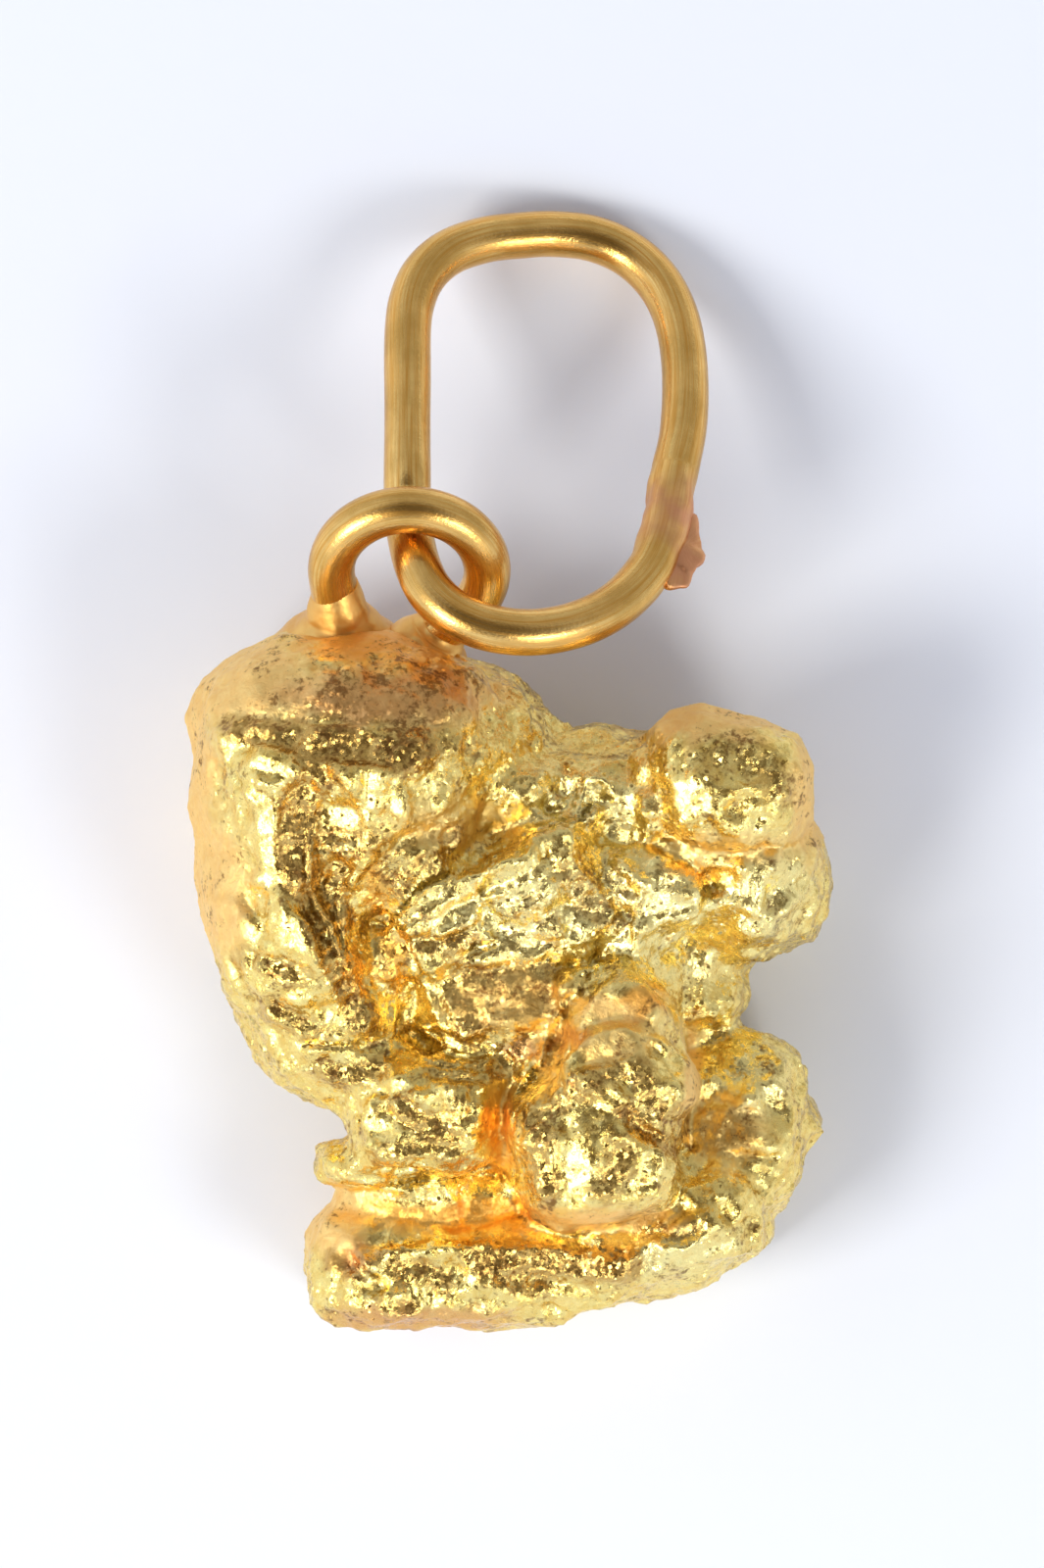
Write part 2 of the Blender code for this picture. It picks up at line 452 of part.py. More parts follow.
def crumple(mesh):
    """Push the skin in and out in lumps and folded ridges, as hammered and tumbled soft metal."""
    points, normals = mesh_points(mesh)
    lumps = lattice_noise(points, 1.7, NOISE_SEED)
    folds = 1.0 - 2.0 * np.abs(lattice_noise(points, 1.05, NOISE_SEED + 1))
    small = 1.0 - 2.0 * np.abs(lattice_noise(points, 0.62, NOISE_SEED + 2))
    calm = 1.0 - 0.75 * smooth_share(points)
    push = 0.18 * lumps + calm * (0.17 * (folds - 0.5) + 0.06 * (small - 0.5))
    move_points(mesh, points + normals * push[:, None])


def strip_faces():
    """The chain of small faces along each strip."""
    faces = []
    for strip in STRIPS:
        for start, end in zip(strip.points, strip.points[1:]):
            run = math.dist(start, end)
            count = max(1, round(run / (1.3 * strip.reach)))
            turn = math.degrees(math.atan2(end[1] - start[1], end[0] - start[0]))
            for part in (np.arange(count) + 0.5) / count:
                middle = np.array(start) * (1 - part) + np.array(end) * part
                faces.append(Face(strip.name, middle, (0.75 * run / count, strip.reach), turn, DARK))
    return faces


def flatten_faces(mesh):
    """Bring the upper skin inside each ellipse towards its own plane.

    z' = z + share * (middle height + rise . (x, y) - z), share = 1 up to near the rim of the ellipse.
    """
    points, normals = mesh_points(mesh)
    upper = np.clip((normals[:, 2] - 0.15) / 0.4, 0.0, 1.0)
    for face in strip_faces() + list(FACES):
        away = points[:, :2] - np.array(face.centre)
        turn = math.radians(face.turn)
        local = away @ np.array([[math.cos(turn), -math.sin(turn)], [math.sin(turn), math.cos(turn)]])
        reach = np.linalg.norm(local / np.array(face.radii), axis=1)
        share = np.clip(2.2 * (1.25 - reach), 0.0, 1.0) * upper
        core = share > 0.9
        if core.any():
            level = np.median(points[core, 2]) + away @ np.array(face.rise)
            points[:, 2] += 0.92 * share * np.clip(level - points[:, 2], -FACE_DEPTH, FACE_DEPTH)
    move_points(mesh, points)


def cutter(name, mesh):
    """A hidden shape for a Boolean."""
    tool = add_object(name, mesh)
    tool.hide_render = True
    tool.display_type = "WIRE"
    tool.scale = (MM, MM, MM)
    return tool


def cut_with(obj, tool):
    """Take a hidden shape away from an object."""
    cut = obj.modifiers.new("cut_" + tool.name, "BOOLEAN")
    cut.operation = "DIFFERENCE"
    cut.object = tool


def floor_block():
    """A block that fills the space under the plane Z = 0, to wear small flats where the nugget rests."""
    mesh = bpy.data.meshes.new("floor_block")
    bm = bmesh.new()
    bmesh.ops.create_cube(bm, size=1.0)
    bmesh.ops.scale(bm, vec=(30.0, 40.0, FLOOR_DEPTH), verts=bm.verts)
    bmesh.ops.translate(bm, vec=(0.0, 0.0, -FLOOR_DEPTH / 2), verts=bm.verts)
    bm.to_mesh(mesh)
    bm.free()
    return cutter("floor_block", mesh)


def eye_path():
    """The eye's middle line: a ring arc tilted about X, with a straight leg at each end."""
    tilt = math.radians(EYE_TILT)
    across = Vector((1.0, 0.0, 0.0))
    upward = Vector((0.0, math.cos(tilt), math.sin(tilt)))
    centre = Vector(EYE_CENTRE)
    arc = []
    for step in range(EYE_ARC_STEPS + 1):
        angle = math.radians(EYE_ARC[0] + (EYE_ARC[1] - EYE_ARC[0]) * step / EYE_ARC_STEPS)
        arc.append(centre + EYE_RADIUS * (math.cos(angle) * across + math.sin(angle) * upward))
    first = (arc[0] - arc[1]).normalized() * EYE_LEG
    last = (arc[-1] - arc[-2]).normalized() * EYE_LEG
    return [arc[0] + first, arc[0] + first * 0.5] + arc + [arc[-1] + last * 0.5, arc[-1] + last]


def link_path():
    """The link's middle line, on a plane that leans on the surface, dipped where it passes the eye."""
    route = []
    for x, y in LINK_ROUTE:
        z = LINK_HEIGHT + LINK_SLOPE[0] * (x - LINK_MIDDLE[0]) + LINK_SLOPE[1] * (y - LINK_MIDDLE[1])
        away = math.hypot(x - LINK_DIP_AT[0], y - LINK_DIP_AT[1]) / LINK_DIP_REACH
        z -= LINK_DIP * max(0.0, 1.0 - away * away) ** 2
        route.append((x, y, z))
    return smooth_loop(route, LINK_RINGS, True)


def add_eye(material):
    """The eye as a bevelled wire, and a slightly fatter one that makes its pockets."""
    path = eye_path()
    mesh = wire_mesh("eye", path, [WIRE_RADIUS] * len(path), WIRE_SIDES, False)
    mesh.transform(Matrix.Scale(MM, 4))
    eye = add_object("eye", mesh)
    eye.data.materials.append(material)
    longer = [path[0] + (path[0] - path[1]).normalized() * CLEARANCE] + path[1:-1]
    longer.append(path[-1] + (path[-1] - path[-2]).normalized() * CLEARANCE)
    fatter = wire_mesh("eye_pocket", longer, [WIRE_RADIUS + CLEARANCE] * len(path), WIRE_SIDES, False)
    return eye, cutter("eye_pocket", fatter)


def add_solder(name, points, radii, material, eye_pocket):
    """A bead of solder flared from the eye's foot into the nugget, and its pocket in the nugget."""
    path = smooth_loop(points, SOLDER_STEPS, False)
    places = np.linspace(0.0, 1.0, len(radii))
    even = np.interp(np.linspace(0.0, 1.0, SOLDER_STEPS), places, radii)
    bead = add_object(name, wire_mesh(name, path, even, SOLDER_SIDES, False))
    bead.scale = (MM, MM, MM)
    cut_with(bead, eye_pocket)
    bead.data.materials.append(material)
    pocket = wire_mesh(name + "_pocket", path, even + CLEARANCE, SOLDER_SIDES, False)
    return bead, cutter(name + "_pocket", pocket)


def add_link(material):
    """The link: one closed loop of wire with a burr of solder and a nub at its seam."""
    path = link_path()
    loop = wire_mesh("link", path, [WIRE_RADIUS] * len(path), WIRE_SIDES, True)
    pivot = Vector(EYE_CENTRE)
    loop.transform(Matrix.Translation(-pivot))
    link = add_object("link", loop)
    link.location = pivot * MM
    link.scale = (MM, MM, MM)
    for name, centre, radii, lean in (("burr", BURR_CENTRE, BURR_RADII, BURR_LEAN),
                                      ("nub", NUB_CENTRE, NUB_RADII, (0.0, 0.0, 0.0))):
        mesh = bpy.data.meshes.new(name)
        bm = bmesh.new()
        lump_into(bm, centre, radii, lean, 2.2, detail=2)
        bm.to_mesh(mesh)
        bm.free()
        join = link.modifiers.new("join_" + name, "BOOLEAN")
        join.operation = "UNION"
        join.object = cutter(name, mesh)
    link.data.materials.append(material)
    return link


def add_nugget(material, pockets):
    """The nugget: lumps fused, crumpled and creased, thinned to its main faces, worn flat underneath."""
    bm = bmesh.new()
    for lump in LUMPS:
        lump_into(bm, lump.centre, lump.radii, (lump.lean, 0.0, lump.turn), lump.squareness)
    mesh = bpy.data.meshes.new("nugget_lumps")
    bm.to_mesh(mesh)
    bm.free()
    mesh = fused("nugget_lumps", mesh, FUSE_CELL)
    crumple(mesh)
    crease_upper_side(mesh)
    mesh = fused("nugget_creased", mesh, CREASED_CELL)
    flatten_faces(mesh)
    mesh.name = "nugget"
    mesh.calc_loop_triangles()
    nugget = add_object("nugget", mesh)
    nugget.scale = (MM, MM, MM)
    thin = nugget.modifiers.new("main_faces", "DECIMATE")
    thin.ratio = NUGGET_TRIANGLES / len(mesh.loop_triangles)
    for tool in [floor_block()] + pockets:
        cut_with(nugget, tool)
    nugget.data.materials.append(material)
    return nugget


def shade_round(obj):
    """Shade smoothly, with an edge where faces meet sharply."""
    obj.data.shade_smooth()
    obj.data.set_sharp_from_angle(angle=math.radians(50.0))


def main():
    clear_scene()
    native = finish_metal("native_gold", (0.80, 0.56, 0.22), 0.28)
    wire = finish_metal("gold_wire", (0.76, 0.50, 0.20), 0.22)
    braze = finish_metal("gold_solder", (0.78, 0.48, 0.20), 0.35)
    eye, eye_pocket = add_eye(wire)
    left, left_pocket = add_solder("solder_left", SOLDER_LEFT, SOLDER_LEFT_RADII, braze, eye_pocket)
    right, right_pocket = add_solder("solder_right", SOLDER_RIGHT, SOLDER_RIGHT_RADII, braze, eye_pocket)
    cut_with(right, left_pocket)
    link = add_link(wire)
    add_nugget(native, [eye_pocket, left_pocket, right_pocket])
    for piece in (eye, left, right, link):
        shade_round(piece)


main()
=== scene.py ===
import json
import math
from collections import namedtuple
from functools import partial
from itertools import product

import bpy
import numpy as np
from bpy.props import FloatProperty, FloatVectorProperty, PointerProperty
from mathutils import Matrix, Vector


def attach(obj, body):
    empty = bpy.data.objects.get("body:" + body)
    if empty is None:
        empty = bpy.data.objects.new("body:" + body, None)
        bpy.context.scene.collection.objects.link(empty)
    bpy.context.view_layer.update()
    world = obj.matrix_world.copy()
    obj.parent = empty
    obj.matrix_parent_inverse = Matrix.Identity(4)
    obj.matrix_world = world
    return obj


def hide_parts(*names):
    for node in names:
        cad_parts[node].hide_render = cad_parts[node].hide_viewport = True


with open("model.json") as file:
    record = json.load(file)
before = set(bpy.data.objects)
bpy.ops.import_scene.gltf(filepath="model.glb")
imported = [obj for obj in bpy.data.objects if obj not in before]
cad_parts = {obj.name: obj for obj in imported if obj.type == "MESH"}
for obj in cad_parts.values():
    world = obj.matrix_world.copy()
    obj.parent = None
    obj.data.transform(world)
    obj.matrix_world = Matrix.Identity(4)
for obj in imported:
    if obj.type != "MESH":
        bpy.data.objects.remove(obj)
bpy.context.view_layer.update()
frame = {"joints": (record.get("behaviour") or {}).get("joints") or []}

bl_info = {
    "name": "Gold nugget pendant",
    "version": (1, 0, 0),
    "blender": (4, 5, 0),
    "location": "View3D > Sidebar > Nugget",
    "description": "A crumpled gold nugget with a soldered wire eye and a loose link, on pale paper",
    "category": "Object",
}

# Sizes below are in millimetres and angles in degrees
MM = 0.001
SWING = frame["joints"][0]
EYE_CENTRE = np.array(SWING["pos_m"]) / MM
RING_AXIS = np.array(SWING["axis"])

# The photograph's frame: its middle, and its height from its 1600 pixels at 46 to a millimetre
PIXELS_PER_MM = 46.0
FRAME_MIDDLE = (0.38, -0.36)
FRAME_HEIGHT = 1600 / PIXELS_PER_MM
FOCUS_HEIGHT = 4.0
CAMERA_SENSOR = 36.0
LAMP_COLOUR = (1.0, 0.98, 0.93)

# Eye: the arc of its ring and its straight legs, each as where it starts and ends and its points
EYE_ARC = (-48.0, 188.0, 120)
EYE_LEG = (1.25, 0.05, 14)
EYE_RINGS = 170
WIRE_SIDES = 36
WIRE_SWELL = 0.012

# Solder beads, from the wire down into the nugget: middle line and radii
SOLDER_BEADS = {
    "solder_left": (((-3.74, 4.06, 5.20), (-3.71, 3.80, 5.00), (-3.68, 3.50, 4.76), (-3.66, 3.16, 4.50),
                     (-3.66, 2.80, 4.25), (-3.66, 2.44, 4.00)), (0.50, 0.60, 0.72, 1.02, 1.42, 1.75)),
    "solder_right": (((-1.36, 3.14, 4.48), (-1.46, 3.00, 4.36), (-1.60, 2.80, 4.25), (-1.74, 2.54, 4.10)),
                     (0.50, 0.70, 0.90, 1.05)),
}
UPWARDS = np.array([0.0, 0.0, 1.0])
SOLDER_RINGS = 60
SOLDER_SIDES = 64
# Its frozen waves, as height, cell size and seed, grow over the first stretch beside the wire
SOLDER_FLOW = ((0.07, 0.9, 40), (0.02, 0.3, 41))
SOLDER_SMOOTH = 0.5

# Link: the middle of its wire, anticlockwise from its soldered seam as seen from above, in a leaning plane
# with a dip where it passes through the eye
LINK_ROUTE = (
    (3.78, 6.60), (3.96, 7.47), (4.02, 8.45), (3.96, 9.42), (3.76, 10.25), (3.37, 10.95),
    (2.76, 11.51), (1.96, 11.86), (1.09, 11.96), (0.33, 11.92), (-0.43, 11.82), (-1.20, 11.55),
    (-1.74, 11.10), (-2.04, 10.51), (-2.16, 9.75), (-2.16, 8.20), (-2.16, 6.60), (-2.15, 5.95),
    (-2.09, 5.18), (-1.91, 4.42), (-1.59, 3.82), (-1.02, 3.34), (-0.22, 3.05), (0.76, 2.99),
    (1.74, 3.21), (2.54, 3.66), (3.15, 4.32), (3.48, 5.08), (3.63, 5.84),
)
LINK_RINGS = 420
LINK_MIDDLE = (0.91, 7.47)
LINK_HEIGHT = 3.56
LINK_SLOPE = (-0.20, -0.645)
LINK_DIP = 0.22
LINK_DIP_AT = (-2.12, 5.70)
LINK_DIP_REACH = 1.10
# The seam: its middle lies that far back from the start of the route, and solder swells and dimples it
SEAM_BACK = 1.3
SEAM_REACH = 1.15
SEAM_SWELL = 0.015
SEAM_DIMPLES = 0.09

# Nugget: cell sizes of the first and the finished skin, the facets between them, the seed of its repeatable
# noise, and the heights of its bulges and of its large and small ridges
FUSE_CELL = 0.14
SKIN_CELL = 0.104
FACET_TRIANGLES = 2600
NOISE_SEED = 7
BULGE_HEIGHT = 0.18
RIDGE_HEIGHT = 0.17
RIPPLE_HEIGHT = 0.06
# The foil-like folds run these ways from X, and are that many times longer than wide
FOLD_WAYS = (28.0, 96.0, 165.0)
FOLD_STRETCH = 2.3
# Flat faces: their rise to the right and to the back makes them flash or stay dark. They move the skin by the
# depth at most and end at the rim, in half sizes, over a stretch that is shorter the larger the edge number
# is. A face's core is where its share is over the core number. Along a strip they lie a step apart, in its
# half widths
LIT = (0.36, 0.18)
LIT_RIGHT = (-0.25, 0.28)
DARK = (-0.05, -0.12)
FACE_DEPTH = 0.34
FACE_PULL = 0.92
FACE_RIM = 1.25
FACE_EDGE = 2.2
FACE_CORE = 0.9
STRIP_STEP = 1.3
# The painted shade, a darker gold, reaches past its strip, and a patch ends at its rim, both in half sizes
# and with such an edge
PAINTED_SHADE_REACH = 1.7
PAINTED_SHADE_EDGE = 2.4
PATCH_RIM = 1.5
PATCH_EDGE = 1.3
# Crevices at least this deep get painted light at their bottom: a mid gold that tempers their shade and
# orange glow
CREVICE_LIGHT_DEPTH = 0.3
# Steps that a curve is worked out in between two of its points, and a lump's grid
CURVE_STEPS = 32
LUMP_GRID = (40, 64)
# Repeatable noise: the numbers that mix a lattice cube's place and seed, the steps from one draw to the next,
# and what brings the noise to about -1 to 1. A facet's site and level stray so far, in cubes
PLACE_MIX = (73856093, 19349663, 83492791)
SEED_MIX = 9176
DRAW_FACTOR, DRAW_STEP, DRAW_MASK = 1103515245, 12345, 0x7FFFFFFF
NOISE_GAIN = 1.6
SITE_SPREAD = 0.42
LEVEL_SPREAD = 0.35
# Sockets of a colour Mix node: its share, the colours it goes from and to, and its result
SHARE, UNDER, OVER, MIXED = 0, 6, 7, 2

Lump = namedtuple("Lump", "centre radii turn lean squareness")
Line = namedtuple("Line", "height reach points")
Face = namedtuple("Face", "centre radii turn rise")

# Burr of solder on the link's seam: a plate with a ragged rim, its place, its lean about X, Y and Z, and the
# radius and length that it takes up in the straightened wire
BURR = Lump((0.0, 0.0, 0.0), (0.52, 0.90, 0.17), 0, 0, 2.6)
BURR_RAGGED = 0.30
BURR_CENTRE = (3.84, 4.76, 4.72)
BURR_LEAN = (-33.0, 11.0, -17.0)
BURR_RADIUS = 0.4
BURR_LENGTH = 1.6


def lumps(*rows):
    """Each row is middle X, Y, Z, half sizes X, Y, Z, turn about Z, lean about X, and squareness."""
    return [Lump(np.array(row[:3], float), np.array(row[3:6], float), *row[6:]) for row in rows]


def lines(*rows):
    """Each row is a height, a reach, and the X and Y of the line's points in turn, as seen from above."""
    return [Line(height, reach, np.reshape(points, (-1, 2)).astype(float)) for height, reach, *points in rows]


def faces(*rows):
    """Each row is middle X, Y, half sizes along and across, the turn, and the rise where that isn't LIT."""
    return [Face(np.array(row[:2], float), np.array(row[2:4], float), row[4], row[5] if row[5:] else LIT)
            for row in rows]


# The forms that the nugget is fused from
LUMPS = lumps(
    # Shoulder: core, crown, back, flank, hem and right side
    (-3.5, -0.25, 3.8, 3.45, 3.35, 3.85, 0, 0, 2.6), (-3, 0.85, 4.3, 3, 2.15, 3.1, -4, 0, 2.3),
    (-4.9, 1.2, 3.6, 2.2, 1.75, 2.4, 22, 0, 2.2), (-4.65, -3.2, 4, 2, 3.25, 3.1, 14, 0, 2.4),
    (-3.8, -5.6, 3.8, 1.75, 1.75, 2.6, 35, 0, 2.3), (-1.1, 0.55, 3.5, 2.05, 1.9, 2.5, -15, 0, 2.3),
    # Bridge, upper knob and its side, right body and right edge
    (1.6, -0.85, 2.9, 2.7, 1.85, 2.1, -5, 0, 2.3), (4.8, -0.45, 4.6, 2, 1.7, 2.15, -14, 0, 2.8),
    (3.7, 0.05, 3.7, 1.25, 0.95, 1.7, 10, 0, 2.4), (5.35, -2.45, 2.7, 1.75, 1.85, 2.85, -20, 0, 2.3),
    (6.05, -3.1, 2.7, 1.1, 0.9, 1.6, 0, 0, 2.3),
    # Middle: its plate, face, right and lower side, the tongue, the crevice's floor, the tongue's root,
    # the right of the waist and the core
    (-0.3, -2.7, 4.6, 2.55, 1, 2.05, 29, 14, 3.6), (0.55, -3.3, 4, 2.55, 1.35, 2.35, 22, 8, 2.8),
    (2.95, -2.55, 3.8, 1.8, 1.5, 2.2, 10, 0, 2.4), (0.1, -5.05, 3.9, 2.1, 1.45, 2.2, 8, 0, 3),
    (2.5, -5.85, 5.1, 1.35, 1.3, 2.2, 22, -24, 2.9), (0.8, -6.5, 3.3, 1.1, 1.3, 1.9, 0, 0, 2.4),
    (2.8, -4.6, 3, 1.5, 1.3, 2, 35, 0, 2.2), (3.9, -4.75, 2.5, 1.45, 1.6, 1.6, 0, 0, 2.2),
    (-0.3, -3.6, 2.9, 4.3, 3.7, 2.7, 0, 0, 2.2),
    # Front knob, its top and its base
    (1.95, -8.45, 5.65, 1.72, 1.6, 2.22, 10, -3, 4), (2.65, -7.05, 5.6, 1.5, 1.35, 2.25, -36, 4, 4),
    (1.9, -7.6, 3.9, 2.15, 2.5, 2.9, -15, 0, 2.4),
    # Arm, its upper side and its tip
    (-1.55, -7.65, 4.4, 1.85, 1.4, 2.15, 0, 0, 3), (-2.9, -6.75, 4.2, 1.6, 0.88, 2, -8, 0, 2.6),
    (-2.4, -8.75, 3.8, 1.8, 0.56, 1.6, 0, 0, 2.6),
    # Foot: band, left and right end, then the lower right and its tip
    (-1.2, -11.05, 2.6, 3.15, 1.34, 2.45, 0, 0, 4.2), (-3, -10.9, 2.25, 1.3, 1.42, 2.4, 10, 0, 2.3),
    (3.05, -10.25, 2.6, 2.85, 1.46, 2.6, 14, 0, 3.4), (5, -8.1, 2.4, 1.7, 2.3, 2, -10, 0, 2.3),
    (6, -7.55, 2.3, 0.9, 1.25, 1.3, 20, 0, 2.2),
    # Fillings: the trough's floor, the bridge's top, right, left, the pool's floor and the lower core
    (0.1, -0.8, 3.7, 1.6, 1.2, 2.3, 20, 0, 2.3), (2, -0.6, 3.4, 1.7, 1.1, 2.2, 0, 0, 2.3),
    (2.5, -3.6, 3.8, 1.2, 1.4, 2.25, 0, 0, 2.3), (-2.75, -3.5, 3.6, 1, 1.8, 2.6, 10, 0, 2.3),
    (-1.5, -9.7, 3, 2.3, 0.9, 2.05, 0, 0, 2.3), (1, -8.6, 2.6, 3.9, 2.7, 2.1, 0, 0, 2.3),
)

# Ridges, and crevices where the height is negative, on the upper side of the first skin
CREASES = lines(
    # crown ridge
    (0.3, 0.75, -6.3, 0.8, -5.5, 0.4, -4.6, 0.05, -3.6, -0.1, -2.4, 0.05, -1.4, 0.3, -0.4, 0.45),
    (0.5, 0.8, -5.5, -0.15, -5.1, -1.45, -4.9, -2.55, -4.4, -3.85, -3.9, -4.7),  # flank ridge
    (-0.2, 0.8, -4.1, -0.6, -4, -2, -3.6, -3.4, -3.2, -4.6),  # flank hollow
    (-0.12, 0.5, -2.4, -1.9, -2.7, -2.6, -2.9, -3.6, -2.9, -4.7, -2.5, -5.4),  # side crevice
    (-0.28, 1, -2.3, -2, -1.5, -1.6, -0.6, -1.3, 0.3, -1.1),  # trough
    (0.3, 0.45, -2.4, -3.2, -1.6, -2.5, -0.2, -1.95, 0.75, -1.3, 1.8, -1),  # plate edge
    (0.2, 0.4, -0.8, -4.2, 0.3, -4, 1.2, -3.5),  # plate fold
    (-0.26, 0.48, 1.9, -1.9, 2.4, -2.6, 2.6, -3.4, 2, -4.4, 1.5, -5.4, 0.95, -6.4, 0.55, -7),  # plate crevice
    (-0.2, 0.35, 2.5, -7.45, 3.1, -7.95, 3.7, -8.35),  # knob fold
    (0.16, 0.35, 1.1, -6.6, 1.7, -6.75, 2.4, -7.25, 3.2, -7.75),  # knob step
    (-0.5, 0.5, 0, -7, -0.05, -8, -0.1, -9),  # knob cleft
    (-0.24, 0.75, -3.2, -9.9, -1.8, -10, -0.3, -9.9, 1, -10, 2.3, -10.3),  # foot pool
    (-0.16, 0.5, 2.6, -10.2, 3.6, -9.7, 4.3, -8.9),  # foot gap
    (-0.2, 0.45, -2.9, -6.1, -1.6, -6.1, -0.3, -6.3),  # arm crease
    (0.28, 0.34, -1.8, -5.65, -0.9, -6.2),  # arm streak
    (-0.4, 0.45, 3.6, -1.5, 4.9, -1.85, 6.2, -1.7, 6.9, -1.4),  # knob ledge
    (-0.35, 0.45, 3.1, 0.5, 3.2, -0.4, 3.6, -1.3),  # knob side
    (0.18, 0.4, -2.5, -10.75, -1, -10.65, 1, -10.8, 2.7, -11, 4, -10.4, 5.3, -9.4),  # foot ridge
)

# Smaller folds of the finished skin
FOLDS = lines(
    # Plate
    (0.16, 0.26, -2.2, -3.15, -1.4, -2.75, -0.6, -2.4, 0.3, -1.95),
    (0.15, 0.24, -2.1, -3.55, -1.2, -3.1, -0.4, -2.85, 0.5, -2.3),
    (0.14, 0.24, -1.5, -3.75, -0.6, -3.35, 0.4, -2.95, 1.1, -2.5), (-0.16, 0.2, -0.5, -3, -0.2, -3.6),
    (-0.16, 0.2, 0.7, -1.7, 1.2, -2.4, 1.3, -3), (-0.14, 0.18, -1.5, -2.9, -1.6, -3.8),
    # Shoulder's corner
    (0.16, 0.26, -6.2, 0.75, -5.4, 0.4, -4.6, 0.25, -3.8, 0.05),
    (0.14, 0.22, -5.9, 0, -5.2, -0.35, -4.7, 0), (-0.16, 0.22, -4.9, 0.1, -4.4, -0.4, -4.2, -1),
    # Roof
    (0.12, 0.2, -4.7, -0.9, -4.5, -1.7, -4.5, -2.4), (-0.14, 0.2, -4.3, -1.2, -4.25, -1.9, -4, -2.8),
    # Between roof and plate
    (0.18, 0.28, -3.5, -0.2, -3, -0.9, -2.9, -1.6), (0.18, 0.28, -2.7, -0.2, -2.3, -0.7, -2.1, -1.2),
    (0.14, 0.24, -4.2, -2, -3.6, -1.85, -3.1, -2.05), (0.14, 0.24, -3.9, -3.2, -3.4, -2.55, -3.1, -3.1),
    # Left flank
    (0.18, 0.3, -5.1, -2.9, -4.5, -3.5, -4.1, -4.3), (0.15, 0.26, -6, -3, -5.6, -3.6, -5.2, -4.2),
    (0.14, 0.26, -5.6, -4.6, -4.8, -4.8, -4.2, -5.5),
    # Dull middle
    (0.12, 0.2, -0.4, -4.8, 0.4, -4.6, 1.2, -4.8), (-0.14, 0.18, -0.2, -5.4, 0.6, -5.2, 1.3, -5.4),
    # Right side
    (0.16, 0.26, 2.6, -2.2, 3.4, -2.9, 4.2, -2.8), (0.16, 0.26, 2.6, -3.5, 3.3, -3.5, 4, -3.2),
    (-0.18, 0.24, 3, -1.6, 4, -2.1, 4.7, -2.7), (0.14, 0.24, 5.2, -2.2, 5.6, -3, 5.4, -3.7),
    # Upper knob
    (0.14, 0.22, 4.2, -0.2, 4.9, -0.5, 5.9, -0.4), (-0.14, 0.22, 4.4, 0.3, 5, 0, 5.7, 0.3),
    # Front knob
    (0.16, 0.24, 1.3, -6.9, 2.2, -6.8, 2.6, -7.3), (0.16, 0.26, 1.2, -8.2, 1.4, -8.8, 1.9, -9.3),
    # Arm
    (0.15, 0.24, -3.2, -7, -2.4, -6.8, -1.9, -7.2), (0.15, 0.24, -1.3, -7, -1.1, -7.7, -0.7, -8.3),
    (-0.14, 0.2, -2.6, -7.6, -1.9, -8, -1, -8.1), (0.14, 0.24, -3.6, -8.9, -2.6, -8.6, -1.4, -8.9),
    # Foot
    (0.15, 0.24, -3.2, -10.9, -2.6, -11.3, -2.6, -11.9), (-0.14, 0.2, -2.2, -10.8, -1.6, -11.4, -1.7, -12),
    (0.15, 0.24, -1.1, -10.7, -0.6, -11.3, 0.2, -11.7), (-0.15, 0.2, 0.2, -10.8, 0.7, -11.3, 1, -12),
    (0.15, 0.24, 1.3, -11.6, 2.1, -11.2, 2.9, -11.3), (0.15, 0.24, 3.2, -10.8, 4, -10.6, 4.8, -10.2),
    # Lower right
    (-0.16, 0.22, 4.4, -8.2, 5.2, -8.6, 6, -8.6), (0.15, 0.24, 4.6, -6.9, 5.4, -7.4, 6.2, -7.3),
)

# Steps in the skin, higher on the left of their line
LEDGES = lines(
    (0.26, 0.7, 1.9, -1, 0.75, -1.45, -0.2, -2.05, -1.6, -2.6, -2.45, -3.4),  # plate upper
    (0.16, 0.5, -2.45, -3.4, -1.95, -4.2, -1.35, -5.2),  # plate left
    (0.08, 0.28, 0.9, -2.1, -0.4, -2.85, -1.9, -3.55),  # plate streak
    (0.08, 0.28, 1, -2.75, -0.1, -3.35, -1.2, -3.85),  # plate streak low
    (0.13, 0.35, 2.55, -7.3, 3.1, -7.85, 3.75, -8.35),  # front line
    (0.08, 0.3, 3.2, -7.7, 2.4, -7.25, 1.7, -6.7, 1.05, -6.55),  # front glints
    (0.05, 0.45, 4, -10.5, 2.7, -10.85, 1, -10.6, -1, -10.5, -3, -10.6),  # foot edge
    (0.15, 0.45, 0.35, -7.1, 0.9, -6.2, 1.4, -5.2, 1.9, -4.3),  # crevice west
    (0.14, 0.4, 3.5, -1.45, 4.9, -1.8, 6.3, -1.65),  # knob lip
    (0.12, 0.35, -0.5, -6.75, -1.8, -6.6, -3.2, -6.3, -4.2, -6.2),  # arm top
    (0.12, 0.35, -0.4, -8.9, -1.4, -9.2, -2.6, -9.25),  # arm low
    (0.12, 0.35, -4.35, -0.9, -4.4, -2.2, -4.1, -3.1, -3.3, -4.8),  # roof edge
    (0.1, 0.3, -3.4, -2.2, -3.75, -3, -3.35, -4.4),  # roof strip
    (0.08, 0.35, -1.4, 0.8, -3, 0.95, -5.9, 0.95),  # band top
)
